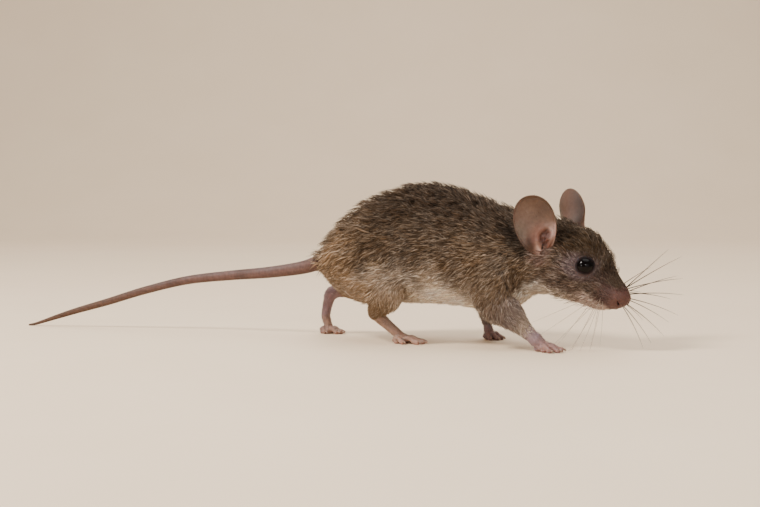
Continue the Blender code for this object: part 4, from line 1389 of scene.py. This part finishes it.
def makeTail():
    # A tapering tube whose radius is a fine saw-tooth: each ring of scales laps the next.
    length = tailPath(2)[1][-1]
    count = int(length / tail["scalePitch"] * tail["ringsPerScale"])
    rows, at = tailPath(count)
    phase = (at / tail["scalePitch"]) % 1
    saw = tail["scaleDepth"] * (phase - 0.5) * np.minimum(rows[:, 3], 1.0)
    radius = rows[:, 3] - 0.03 + saw
    rings = tubeRings(np.column_stack([rows[:, :3], radius, radius]), tail["sides"])
    points, quads, tips = closedGrid(rings)
    points[:, 2] = np.maximum(points[:, 2], 0.01)
    piece = makeMesh("skin_tail", points, quads, tips)
    low = np.repeat(rows[:, 2] - rows[:, 3], tail["sides"])
    tall = np.repeat(2 * rows[:, 3], tail["sides"])
    share = (points[:-2, 2] - low) / tall
    along = np.repeat(at / length, tail["sides"])
    high = share + 0.1 * waves(points[:-2], 2.0, 51)
    # painted light and shade: lighter along the top, darker below
    colour = painted(np.array(tail["below"]), tail, ("side", ramp(share, 0.05, 0.4)),
                     ("top", ramp(high, 0.55, 0.95)), ("end", 0.80 * ramp(along, 0.30, 0.95)))
    # darker bands of no fixed width
    band = ramp(waves(np.stack([at, 0 * at, 0 * at], -1), 7.0, 53), 0.6, 1.6)
    colour = colour * (1 - 0.22 * np.repeat(band, tail["sides"]))[:, None]
    groove = np.repeat(ramp(phase, 0.0, 0.25) * 0.22 + 0.78, tail["sides"])
    colour = colour * (groove * (1 + 0.10 * waves(points[:-2], 1.1, 52)))[:, None]
    addColours(piece, np.vstack([colour, colour[0], colour[-1]]))
    settle(piece, "skin_tail", materials["tail"], "tail_base", "tail_middle", "tail_end",
           "tail_tip")


makeTail()
print("tail made")


# The coat: solid tufts rooted all over the skins, laid along them.
coat = {
    "perSquareMm": 27.0,
    "length": 2.6,
    "lift": 0.74,               # height of the tips over the skin
    "width": 0.175,
    "limbLength": (0.55, 2.1),  # where a limb is nearly bare, and more where it is furred
    "limbLift": (0.08, 0.78),   # the same
    "rootDepth": 0.12,
    "middleLift": 0.68,         # share of the lift reached at the middle of a tuft
    "clump": 0.52,              # size of a clump
    "guardShare": 0.04,         # hairs that stand above the rest
    "guardLift": (1.2, 2.0),
    "spikeShare": 0.07,         # small clumps that stand up together along the back
    "spikeClump": 0.5,
    "spikeLift": (1.3, 1.9),
    "pieceLimit": 19500,        # tufts in a piece
    "patch": 0.003,             # side of a tuft's patch on the unwrap
    "margin": 0.01,
    "cell": 0.8,                # of the grid that finds the skin below a spot
}


def skinMap(points, normals):
    # The mean point and normal of the skin in each cell of a cubic grid. Copies of every
    # vertex stepped out along its normal let a spot over the skin find what lies below it.
    steps = np.array([-0.5, 0.0, 0.5, 1.0, 1.5]) * coat["cell"]
    spots = (points[None] + normals[None] * steps[:, None, None]).reshape(-1, 3)
    keys, member = np.unique(cellKeys(spots), return_inverse=True)
    count = np.bincount(member)
    source = np.tile(np.arange(len(points)), len(steps))

    def mean(values):
        # over each cell
        return np.stack([np.bincount(member, values[source, k]) / count for k in range(3)], -1)

    return keys, mean(points), unit(mean(normals))


def cellKeys(spots):
    # One whole number for each cell of the cubic grid.
    cells = np.floor(spots / coat["cell"]).astype(np.int64) + 500
    return (cells[:, 0] * 1000 + cells[:, 1]) * 1000 + cells[:, 2]


def layAlong(skin, roots, normals, flow, length, steps=4):
    # Each tuft's line is marched over the skin: a step ahead, down to the local mean plane,
    # and the way turned into that plane. Returns the middle and the end of the line.
    keys, means, meanNormals = skin
    spot, up, way, stops = roots, normals, flow, []
    for step in range(steps):
        spot = spot + way * (length / steps)[:, None]
        wanted = cellKeys(spot)
        at = np.searchsorted(keys, wanted).clip(0, len(keys) - 1)
        found = (keys[at] == wanted) & (dots(meanNormals[at], up)[:, 0] > 0.2)
        up = unit(np.where(found[:, None], up * 0.35 + meanNormals[at], up))
        fall = np.where(found[:, None], dots(spot - means[at], up), 0.0)
        spot = spot - up * np.clip(fall, -0.6, 0.6)
        way = unit(way - up * dots(way, up))
        if step in (steps // 2 - 1, steps - 1):
            stops.append((spot, up, way))
    return stops


def scatter(points, normals, triangles, density, extras=()):
    # Even random roots: a running total of area times density is read off at equal steps.
    a, b, c = (points[triangles[:, k]] for k in range(3))
    area = np.linalg.norm(np.cross(b - a, c - a), axis=1) / 2
    total = np.cumsum(area * density[triangles].mean(1))
    count = int(total[-1])
    at = (np.arange(count) + random.random(count)) / count * total[-1]
    pick = triangles[np.searchsorted(total, at).clip(0, len(total) - 1)]
    u, v = random.random(count), random.random(count)
    over = u + v > 1
    u, v = np.where(over, 1 - u, u), np.where(over, 1 - v, v)
    weights = np.stack([1 - u - v, u, v], -1)

    def blend(values):
        # between a triangle's corners
        return np.einsum("ij,ij...->i...", weights, values[pick])

    return blend(points), unit(blend(normals)), [blend(e) for e in extras]


def clumped(roots, flow, normals, size, pull, twist, seed):
    # Roots that share a cell of a wobbled grid lean together and share a little turn.
    source = np.random.default_rng(seed)
    wobble = np.stack([waves(roots, 4.0, seed + k) for k in range(3)], -1) * size * 0.45
    turned = (roots + wobble) / size @ np.array([[0.80, 0.36, -0.48], [-0.60, 0.48, -0.64],
                                                 [0.0, 0.80, 0.60]])
    keys, member = np.unique(np.floor(turned).astype(np.int64), axis=0, return_inverse=True)
    member = member.reshape(-1)
    weight = np.bincount(member)
    middle = np.stack([np.bincount(member, roots[:, k]) / weight for k in range(3)], -1)
    inward = middle[member] - roots
    inward -= normals * dots(inward, normals)
    turn = (source.normal(size=len(keys)) * twist)[member]
    tone = source.normal(size=len(keys))[member]
    return swung(flow, normals, turn), inward * pull, tone


def swung(flow, normals, turn):
    # Turned about the normal: flow cos(turn) + across sin(turn).
    across = np.cross(flow, normals)
    return unit(flow * np.cos(turn)[:, None] + across * np.sin(turn)[:, None])


def tuftColours(base, clumpTone, darkShare, paleShare, contrast):
    # Agouti hair: dark at the root, a buff band, and a dark tip on some of the hairs.
    count = len(base)
    chance = random.random(count)
    jitter = np.exp((random.normal(size=count) * 0.14 + clumpTone * 0.16) * contrast)
    dark = chance < darkShare
    pale = chance > 1 - paleShare
    level = np.where(dark, 1 - 0.58 * contrast, np.where(pale, 1 + 0.80 * contrast, 0.92))
    tone = base * (level * jitter)[:, None]
    # the pale hairs are greyer than the rest
    grey = tone.mean(-1, keepdims=True) * (1.10, 1.0, 0.88)
    tone = mixed(tone, grey, np.where(pale, 0.45, 0.0))
    tipDark = random.random(count) < 0.45
    tip = np.where(dark, 0.75, np.where(pale, 1.15, np.where(tipDark, 1 - 0.5 * contrast, 1.05)))
    root = 1 - 0.46 * np.minimum(contrast, 1.0)
    return np.stack([tone * np.reshape(root, (-1, 1)), tone * 1.04, tone * tip[:, None]], 1)


def buildTufts(name, skin, tufts, chosen, uv, slot, material, warp=None):
    # A tuft is a three-sided blade: a ring at its root, one at the middle, and a point. Its
    # middle is over the skin by most of the lift, so it leaves the skin and lies along it.
    roots, normals, flow, inward, length, width, lift, colours = (
        tufts[key][chosen] for key in ("roots", "normals", "flow", "inward", "length", "width",
                                       "lift", "colours"))
    middles, ends = layAlong(skin, roots, normals, flow, length)
    middle, middleUp, middleWay = middles
    middle = middle + middleUp * lift[:, None] * coat["middleLift"] + inward * 0.4
    tip = ends[0] + ends[1] * lift[:, None] + inward
    half, ridge = width[:, None] / 2, width[:, None] * 0.45
    rootSide = unit(np.cross(flow, normals)) * half * 0.8
    side = unit(np.cross(middleWay, middleUp)) * half
    base = roots - normals * coat["rootDepth"]
    points = np.stack([base - rootSide, base + rootSide, base + normals * ridge,
                       middle - side, middle + side, middle + middleUp * ridge, tip], 1)
    if warp is not None:
        points = warp(points)
    points[..., 2] = np.maximum(points[..., 2], 0.03)
    count = len(roots)
    start = np.arange(count)[:, None, None] * 7
    quads = start + np.array([[0, 3, 4, 1], [1, 4, 5, 2], [2, 5, 3, 0]])
    tris = start + np.array([[4, 6, 5], [5, 6, 3], [3, 6, 4], [0, 1, 2]])
    piece = newPiece(name, points.reshape(-1, 3), [quads.reshape(-1, 4), tris.reshape(-1, 3)])
    patch = np.array([[0, 0], [1, 0], [0.5, 0], [0, 0.55], [1, 0.55], [0.5, 0.55], [0.5, 1.0]])
    corners = (uv[:, None] + (patch - 0.5)[None] * coat["patch"]).reshape(-1, 2)
    loops = np.concatenate([quads.ravel(), tris.ravel()])
    layer = piece.data.uv_layers.new(name="OFBake")
    layer.data.foreach_set("uv", corners[loops].astype(np.float32).ravel())
    low, mid, high = (colours[:, k] for k in range(3))
    addColours(piece, np.stack([low, low, low, mid, mid, mid, high], 1).reshape(-1, 3))
    settle(piece, slot, material)
    return count * 10    # three quads and four triangles


def fitted(values):
    # Spread over the unit square of the unwrap, less a margin.
    share = (values - values.min()) / max(np.ptp(values), 1e-9)
    return coat["margin"] + (1 - 2 * coat["margin"]) * share


def layPieces(title, skin, tufts, chosen, slot, material, warp=None):
    # One or more pieces below the size limit; the skin's own two directions are its unwrap.
    along, across = tufts["along"], tufts["across"]
    parts = math.ceil(len(chosen) / coat["pieceLimit"])
    order = chosen[np.argsort(along[chosen], kind="stable")]
    total = 0
    for k, batch in enumerate(np.array_split(order, parts)):
        uv = np.stack([fitted(along[batch]), fitted(across[batch])], -1)
        name = title if parts == 1 else f"{title}_{k + 1}"
        total += buildTufts(name, skin, tufts, batch, uv, slot, material, warp)
    return total


def bodyFlow(row, angle):
    # The coat lies rearward along the rings. On the sides it also slopes down: more so over
    # the rump and behind the shoulder than between them.
    step = 0.05
    ahead = bodyPoint(np.minimum(row + step, len(bodyRows) - 1), angle)
    behind = bodyPoint(np.maximum(row - step, 0), angle)
    rearward = unit(behind - ahead)
    down = unit(bodyPoint(row, angle + step * np.sign(angle)) - bodyPoint(row, angle))
    high = np.cos(angle)
    shoulder = 36 * bump(row, 11.2, 2.6) * ramp(-high, -0.7, 0.2)
    steep = 12 + 14 * (1 - ramp(row, 3.0, 6.0)) + shoulder
    slope = np.radians(steep) * bump(high, -0.15, 0.65) * ramp(row, 1.5, 4.0)
    slope = slope * (1 - ramp(np.abs(angle), 2.3, 2.9))
    return rearward * np.cos(slope)[:, None] + down * np.sin(slope)[:, None]


def normalLevel(share):
    # The level that a standard normal value tops with this chance, to two places.
    level = np.linspace(0, 4, 4001)
    density = np.exp(-level**2 / 2) / math.sqrt(2 * math.pi)
    above = 0.5 - np.cumsum(density) * (level[1] - level[0])
    return level[np.abs(above - share).argmin()]


def bodyDensity():
    # None under the head's own skin and round the tail's root, and few where a limb goes bare.
    row, share = bodySpot(bodyPoints)[:2]
    density = np.full(len(bodyPoints), coat["perSquareMm"])
    density *= 1 - ramp(row, napeRow + 2.7, napeRow + 3.4) * ramp(bodyPoints[:, 2], 9.5, 10.5)
    density *= ramp(row - 0.8 * (1 - ramp(share, 0.4, 0.9)), 0.85, 2.0)
    for name in limbs:
        place, apart = limbSpot(bodyPoints, name)[:2]
        fur = 0.10 + 0.90 * ramp(limbFur(name, place), 0.02, 0.45)
        density *= np.where(apart < body["limbReach"], fur, 1.0)
    return density


trunkCoats = ["coat_back", "coat_flank_right", "coat_flank_left", "coat_belly", "coat_rump",
              "coat_neck"]


def trunkRegion(row, share, angle):
    # Which of the trunk's coats a tuft belongs to.
    region = np.where(share < 0.17, 3, np.where(share > 0.74, 0, np.where(angle < 0, 1, 2)))
    region = np.where(row < 3.3, 4, region)
    return np.where(row > napeRow - 0.5, 5, region)


def coverLimb(tufts, name, region):
    # By a limb, the tufts go over to its flow, colour, length and lift.
    roots = tufts["roots"]
    place, apart, ahead = limbSpot(roots, name)
    near = 1 - ramp(apart, 1.2, 1.9)
    weight = ramp(place, 0.9, 2.6) * near
    fur = limbFur(name, place)
    tint = weight
    if name.startswith("fore"):
        # down the upper arm first, and along the limb below it
        ahead = mixed((-0.25, 0.0, -1.0), ahead, ramp(place, 1.8, 3.4))
        tint = np.maximum(tint, ramp(place, 0.4, 1.6) * near)
    tufts["flow"] = tufts["flow"] * (1 - weight)[:, None] + ahead * weight[:, None]
    tufts["colour"] = mixed(tufts["colour"], limbColour(name, place, roots), tint)
    shortest, more = coat["limbLength"]
    tufts["length"] = tufts["length"] * (1 - weight) + weight * (shortest + more * fur)
    flattest, more = coat["limbLift"]
    tufts["lift"] = tufts["lift"] * (1 - weight) + weight * (flattest + more * fur**1.4)
    tufts["full"] = np.minimum(tufts["full"], 1 - weight * (1 - fur))
    here = weight > 0.5
    path = rowsAt(limbs[name], place)
    turn = np.arctan2(roots[:, 1] - path[:, 1], roots[:, 0] - path[:, 0])
    for key, value in (("region", region), ("along", place), ("across", turn)):
        tufts[key] = np.where(here, value, tufts[key])


def bodyCoat():
    # Tufts over the body: the lie of each first, then clumps, points, guard hairs
    # and colours.
    roots, normals = scatter(bodyPoints, bodyNormals, bodyTriangles, bodyDensity())[:2]
    count = len(roots)
    row, share, angle, local = bodySpot(roots)
    length = coat["length"] - 0.4 * ramp(share, 0.75, 1.0) + 0.15 * waves(roots, 6.0, 61)
    length = length - 0.4 * ramp(row, 10.0, 14.0) - 1.1 * (1 - ramp(row, 0.9, 3.0))
    lift = (coat["lift"] + 0.08 * waves(roots, 3.0, 62)) * (0.35 + 0.65 * ramp(row, 1.0, 2.6))
    tufts = {"roots": roots, "normals": normals, "flow": bodyFlow(row, angle),
             "length": length, "lift": lift, "colour": trunkColour(row, share, local),
             "region": trunkRegion(row, share, angle), "along": row, "across": angle,
             "full": np.ones(count)}
    for index, name in enumerate(limbs):
        coverLimb(tufts, name, len(trunkCoats) + index)
    flow, length, lift, colour, full = (tufts[key] for key in ("flow", "length", "lift",
                                                               "colour", "full"))
    flow = unit(flow - normals * dots(flow, normals))
    flow = swung(flow, normals, 0.16 * waves(roots, 8.0, 63) + 0.12 * waves(roots, 3.0, 64)
                 + 0.12 * random.normal(size=count))
    flow, inward, tone = clumped(roots, flow, normals, coat["clump"], 0.50, 0.20, 71)
    lift = lift * random.uniform(0.5, 1.1, count) * (1 + 0.16 * np.clip(tone, -1.5, 1.5))
    lift = lift * (1 + 0.5 * random.random(count) * (1 - ramp(share, 0.02, 0.14)) * full)
    # small clumps stand up in points along the back and rump
    point, gather, chance = clumped(roots, flow, normals, coat["spikeClump"], 1.0, 0.3, 171)
    rear = 1 - ramp(row, 5.0, 8.0)
    spiked = (chance > normalLevel(coat["spikeShare"])) & (share > 0.80 - 0.35 * rear)
    spiked = spiked & (full > 0.9) & (row > 1.6)
    lift = np.where(spiked, random.uniform(*coat["spikeLift"], count) + 0.8 * rear, lift)
    length = np.where(spiked, length * (1.25 + 0.25 * rear), length)
    flow = np.where(spiked[:, None], point, flow)
    inward = np.where(spiked[:, None], gather, inward)
    darker = (0.5 + 0.25 * rear) * ramp(share, 0.6, 0.85) * spiked
    colour = mixed(colour, palette["back"] * 1.6, darker)
    # and single guard hairs all over
    guard = (random.random(count) < coat["guardShare"]) & (full > 0.9)
    high = random.uniform(*coat["guardLift"], count) * (0.60 + 0.40 * ramp(share, 0.1, 0.5))
    lift = np.where(guard, high, lift)
    length = length * random.uniform(0.78, 1.16, count) * np.where(guard, 1.15, 1.0)
    # shorter and flatter where the neck meets the face
    face = neckShare(row)
    colour = mixed(colour, headColour(local), face)
    length, lift = length * (1 - 0.22 * face), lift * (1 - 0.35 * face)
    width = coat["width"] * (0.65 + 0.35 * full) * random.uniform(0.75, 1.2, count)
    contrast = (0.48 + 0.52 * ramp(share, 0.15, 0.48)) * (1 - 0.15 * face)
    contrast = contrast * (0.7 + 0.3 * ramp(full, 0.3, 0.9)) * (1 - 0.5 * underEar(local))
    colours = tuftColours(colour, tone, 0.30, 0.27, contrast)
    tufts.update(flow=flow, inward=inward * full[:, None], length=length, width=width,
                 lift=lift, colours=colours)
    skin = skinMap(bodyPoints, bodyNormals)
    names = trunkCoats + ["coat_" + name for name in limbs]
    return sum(layPieces(name, skin, tufts, np.flatnonzero(tufts["region"] == index),
                         "coat_body", materials["coatBody"])
               for index, name in enumerate(names))


def eyeGap(local):
    # Distance to the middle of the nearer eye.
    return np.minimum(*[np.linalg.norm(local - mirrored(eyes["centre"], side), axis=1)
                        for side in (-1, 1)])


def earGap(local):
    # How far a spot is from the foot of the nearer ear, in the ear's own directions.
    gaps = []
    for side in (-1, 1):
        rel = (local - mirrored(ear["centre"], side)) @ earBasis(side).T
        gaps.append(np.hypot((rel[:, 0] - ear["root"][0]) / 1.15, rel[:, 1] - ear["root"][1] + 0.6)
                    + 10 * (rel[:, 2] < -6.5) + 10 * (rel[:, 2] > 1.5))
    return np.minimum(*gaps)


def pinkMuzzle(back, height):
    # 1 on the bare pink skin round the nose.
    return (1 - ramp(back, 4.0, 6.2)) * (1 - ramp(height, 0.6, 1.5))


faceCoat = {
    "perSquareMm": 34.0,
    "length": (0.60, 1.55, 0.4),   # at the nose, more at the ears, and more behind them
    "lift": (0.15, 0.50, 0.15),    # the same
    "width": (0.10, 0.08),         # at the nose, and more at the ears
    "clump": 0.80,
}


def faceDensity():
    # Fur reaches the tip of the nose above, and thins over the pink of the muzzle, along the
    # lips and about the eyes and ears.
    back, height = headCoordinates(headLocal)
    pink = pinkMuzzle(back, height)
    density = np.full(len(headLocal), faceCoat["perSquareMm"])
    density *= (1 - 0.62 * pink) * ramp(back, 0.7, 1.6) * (1 - (1 - ramp(back, 1.6, 3.0)) * pink)
    lips = bump(height, mouthLine(back), 0.25)
    density *= 1 - 0.8 * lips * (1 - ramp(back, 5.8, 7.0))
    return density * (ramp(eyeGap(headLocal), 2.12, 2.5) * ramp(earGap(headLocal), 1.9, 2.5))


def faceFlow(local, normals):
    # Back from the nose, down on the cheeks, away from the eyes and up toward the ears.
    height = headCoordinates(local)[1]
    flow = headUp * (0.10 * ramp(height, 2.0, 5.0) - 0.32 * ramp(-height, 0.0, 3.0))[:, None]
    flow = flow - headAlong
    for side in (-1, 1):
        rel = local - mirrored(eyes["centre"], side)
        away = np.linalg.norm(rel, axis=1)
        flow = flow + unit(rel) * (0.9 * (1 - ramp(away, 2.6, 5.2)))[:, None]
        earRoot = mirrored(ear["centre"], side) + np.array([0, -6.0, -2.0]) @ earBasis(side)
        near = 1 - ramp(np.linalg.norm(local - earRoot, axis=1), 2.5, 6.0)
        flow = flow + np.array([0.0, 0.0, 0.75]) * near[:, None]
    return unit(flow - normals * dots(flow, normals))


def headCoat():
    # Tufts over the unturned head, which turn with it at the end.
    straight = unturnVectors(headNormals, headLocal)
    local, normals = scatter(headLocal, straight, headTriangles, faceDensity())[:2]
    count = len(local)
    back, height = headCoordinates(local)
    flow = swung(faceFlow(local, normals), normals,
                 0.16 * waves(local, 5.0, 81) + 0.13 * random.normal(size=count))
    flow, inward, tone = clumped(local, flow, normals, faceCoat["clump"], 0.34, 0.16, 91)
    size, rear = ramp(back, 1.0, 13.0), ramp(back, 13.0, 19.0)
    close = ramp(eyeGap(local), 2.3, 4.5)
    pink = pinkMuzzle(back, height)
    least, more, behind = faceCoat["length"]
    length = (least + more * size + behind * rear) * random.uniform(0.75, 1.2, count)
    length = length * (0.45 + 0.55 * close)
    least, more, behind = faceCoat["lift"]
    lift = (least + more * size + behind * rear) * random.uniform(0.5, 1.15, count)
    lift = lift * (0.5 + 0.5 * close)
    # more of the hairs stand up along the crown and the bridge of the nose
    chance = coat["guardShare"] * (1 + 4.5 * ramp(height, 2.0, 5.0))
    guard = (random.random(count) < chance) & (back > 4.5) & (close > 0.8)
    lift = lift + 0.15 * ramp(height, 2.5, 5.0) * close
    lift = np.where(guard, lift + random.uniform(0.4, 1.1, count), lift)
    length = np.where(guard, length * 1.25, length)
    least, more = faceCoat["width"]
    width = (least + more * size) * random.uniform(0.8, 1.2, count) * (1 - 0.35 * pink)
    contrast = (0.60 + 0.38 * ramp(back, 5.0, 13.0)) * (0.45 + 0.55 * close)
    contrast = contrast * (1 - 0.5 * underEar(local))
    row, share = bodySpot(turnHead(local))[:2]
    colour = mixed(trunkColour(row, share, local), headColour(local), neckShare(row))
    colours = tuftColours(colour, tone, 0.28, 0.25, contrast)
    tufts = {"roots": local, "normals": normals, "flow": flow, "inward": inward,
             "length": length, "width": width, "lift": lift, "along": back,
             "across": np.arctan2(local[:, 1], height),
             "colours": colours * (1 + 0.35 * pink)[:, None, None]}
    return layPieces("coat_head", skinMap(headLocal, straight), tufts, np.arange(count),
                     "coat_head", materials["coatHead"], warp=turnHead)


footHair = {  # length, width and lift: the least, and more toward the fur
    "perSquareMm": 9.0,
    "length": (0.45, 0.45),
    "width": (0.07, 0.0),
    "lift": (0.10, 0.08),
    "sway": 0.22,
    "flecks": 0.2,      # share of dark hairs, and of pale ones
    "contrast": 0.5,
}
earDown = {
    "perSquareMm": 1.5,
    "length": (0.45, 1.3),
    "width": (0.055, 0.08),
    "lift": (0.07, 0.35),
    "sway": 0.3,
    "flecks": 0.3,
    "contrast": 0.7,
}


def shortHairs(title, mesh, hair, more, colour, tufts, slot, material):
    # Single short hairs, which grow with the values of more.
    up, count = tufts["normals"], len(colour)
    flow = unit(tufts["flow"] - up * dots(tufts["flow"], up))
    tufts["flow"] = swung(flow, up, hair["sway"] * random.normal(size=count))
    tufts["inward"] = np.zeros((count, 3))
    for key in ("length", "width", "lift"):
        least, extra = hair[key]
        tufts[key] = least + extra * more
    tufts["length"] = tufts["length"] * random.uniform(0.8, 1.2, count)
    tufts["colours"] = tuftColours(colour, np.zeros(count), hair["flecks"], hair["flecks"],
                                   hair["contrast"])
    return layPieces(title, skinMap(*mesh[:2]), tufts, np.arange(count), slot, material)


def footCoat():
    # Fine short hairs run down the bare part of each limb and over the top of the foot.
    total = 0
    for name, mesh in footSkins.items():
        points, normals, triangles = mesh
        legName, centre, heading = feet[name][:3]
        place, _, way = limbSpot(points, legName)
        bare = limbRange(legName)[1]
        aim = math.radians(heading)
        forward = (points[:, :2] - np.array(centre[:2])) @ [math.cos(aim), math.sin(aim)]
        density = footHair["perSquareMm"] * (1 - 0.55 * ramp(forward, -1.0, 1.5))
        density *= ramp(points[:, 2], 0.7, 1.1) * ramp(normals[:, 2], -0.7, -0.1)
        density *= ramp(place, bare - 1.0, bare - 0.4) * (1 - ramp(forward, 3.6, 4.4))
        roots, up, (flow,) = scatter(points, normals, triangles, density, (way,))
        place = limbSpot(roots, legName)[0]
        colour = limbColour(legName, place, roots)
        colour = mixed(colour, palette["legPale"] * 1.1, np.full(len(roots), 0.5))
        turn = np.arctan2(roots[:, 1] - centre[1], roots[:, 0] - centre[0])
        tufts = {"roots": roots, "normals": up, "flow": flow, "along": roots[:, 2],
                 "across": turn}
        total += shortHairs("coat_" + name, mesh, footHair,
                            1 - ramp(place, bare - 0.6, bare + 1.2), colour, tufts,
                            "coat_body", materials["coatBody"])
    return total


def earCoat():
    # Down so fine that it shows only at the foot of the ear and along its rim.
    total = 0
    for label, (points, normals, triangles, spots) in ears.items():
        along, share, outer = spots.T[1:]
        density = earDown["perSquareMm"] + 14 * outer * ramp(-along, 1.0, 4.0)
        density = density + 5 * ramp(share, 0.85, 1.0)
        density *= 1 - (1 - outer) * ramp(-along, 0.5, 1.5) * (1 - ramp(share, 0.7, 0.9))
        roots, up, (spot,) = scatter(points, normals, triangles, density, (spots,))
        low = ramp(-spot[:, 1], 1.0, 4.5) * spot[:, 3]
        colour = mixed(ear["outer"], 0.5 * (palette["crown"] + np.array(ear["outerFoot"])),
                       0.8 * low)
        tufts = {"roots": roots, "normals": up,
                 "flow": np.broadcast_to(earWays[label], roots.shape),
                 "along": spot[:, 1], "across": spot[:, 0]}
        total += shortHairs("coat_ear_" + label, (points, normals), earDown, low, colour, tufts,
                            "coat_head", materials["coatHead"])
    return total


coatTotal = bodyCoat()
print("body coat", coatTotal, "triangles")
coatTotal += headCoat()
print("with the head", coatTotal, "triangles")
coatTotal += footCoat() + earCoat()
print("with feet and ears", coatTotal, "triangles")


# Whiskers: the left fan points ahead and out, the right one hangs down and back.
whiskers = {
    # rootBack, rootHeight, then heading and pitch in degrees, and length
    "left": [(3.0, 0.4, 22, 44, 16.0), (3.4, 0.1, 30, 33, 18.0), (2.8, -0.3, 14, 24, 15.0),
             (3.8, -0.2, 40, 16, 17.0), (3.0, -0.8, 20, 8, 15.5), (4.2, -0.8, 48, 0, 15.0),
             (3.2, -1.3, 16, -8, 14.5), (4.0, -1.5, 34, -18, 14.0), (3.0, -1.8, 10, -28, 13.0),
             (3.8, -2.1, 30, -42, 12.5), (2.6, -2.2, 6, -52, 11.0), (4.8, -0.2, 66, 26, 14.0),
             (5.0, -1.2, 74, 4, 12.0), (4.8, -2.0, 60, -24, 11.0)],
    "right": [(4.8, -2.1, -150, -62, 12.5), (5.2, -2.0, -158, -48, 15.0),
              (5.7, -1.6, -163, -36, 14.5), (4.9, -1.6, -140, -72, 13.5),
              (6.2, -2.3, -166, -55, 13.0), (4.6, -2.4, -120, -80, 11.5),
              (5.4, -2.7, -150, -66, 13.0), (6.5, -2.0, -166, -24, 14.0),
              (5.0, -2.8, -90, -76, 10.5), (4.3, -2.0, -60, -74, 10.0),
              (5.9, -0.6, -170, -12, 6.0), (5.4, -0.2, -166, -2, 5.0), (6.4, -1.0, -172, -20, 7.0),
              (5.0, 0.2, -160, 8, 4.0)],
    "rootRadius": 0.075,
    "count": 5,
    "rings": 15,
    "dark": (0.030, 0.022, 0.018),
    "pale": (0.32, 0.25, 0.20),
}


def freeTube(path, radius, count):
    # Rings of a given radius about a free path.
    ahead = unit(np.gradient(path, axis=0))
    side = unit(np.cross(ahead, [0.0, 0.3, 1.0]))
    over = np.cross(side, ahead)
    angle = fullTurn(count)
    ring = (np.cos(angle)[None, :, None] * side[:, None]
            + np.sin(angle)[None, :, None] * over[:, None])
    return path[:, None] + ring * radius[:, None, None]


def makeWhiskers(label, side):
    # Each whisker leaves its follicle and droops along a quadratic curve to a fine tip.
    back, height = headCoordinates(headLocal)
    t, count = np.linspace(0, 1, whiskers["rings"]), whiskers["count"]
    sided = headLocal[:, 1] * side < 0.3
    grids, shades = [], []
    for rootBack, rootHeight, heading, pitch, reach in whiskers[label]:
        gap = np.hypot(back - rootBack, height - rootHeight) + 10 * sided
        root = turnHead(headLocal[gap.argmin()][None])[0]
        aim, rise = math.radians(heading + body["yaw"]), math.radians(pitch)
        way = np.array([math.cos(rise) * math.cos(aim), math.cos(rise) * math.sin(aim),
                        math.sin(rise)])
        curl = np.array([-0.10, -0.04 * side, -0.12 if side > 0 else -0.05])
        path = root + np.outer((t - 0.02) * reach, way) + np.outer(t**2 * reach, curl)
        path[:, 2] = np.maximum(path[:, 2], 0.2)
        pale = side < 0 and reach > 8
        radius = whiskers["rootRadius"] * (1 - t) ** 0.7 * (0.55 + 0.03 * reach) + 0.010
        radius = radius * (0.74 if pale else 1.8 if side < 0 else 1.35)
        shade = mixed(whiskers["pale" if pale else "dark"],
                      np.array(whiskers["pale"]) * (1.0 if pale else 0.35),
                      np.repeat(t, count))
        grids.append(closedGrid(freeTube(path, radius, count)))
        shades.append(np.vstack([shade, shade[:1], shade[-1:]]))
    piece = makeMesh("whiskers_" + label, *joined(grids))
    addColours(piece, np.vstack(shades))
    settle(piece, "coat_head", materials["whisker"])


for label, side in sides:
    makeWhiskers(label, side)
print("whiskers made")

settle(bodySkin, "coat_body", materials["underFur"], "trunk", "neck", *limbs)
settle(headSkin, "coat_head", materials["nose"], "head", "nose")
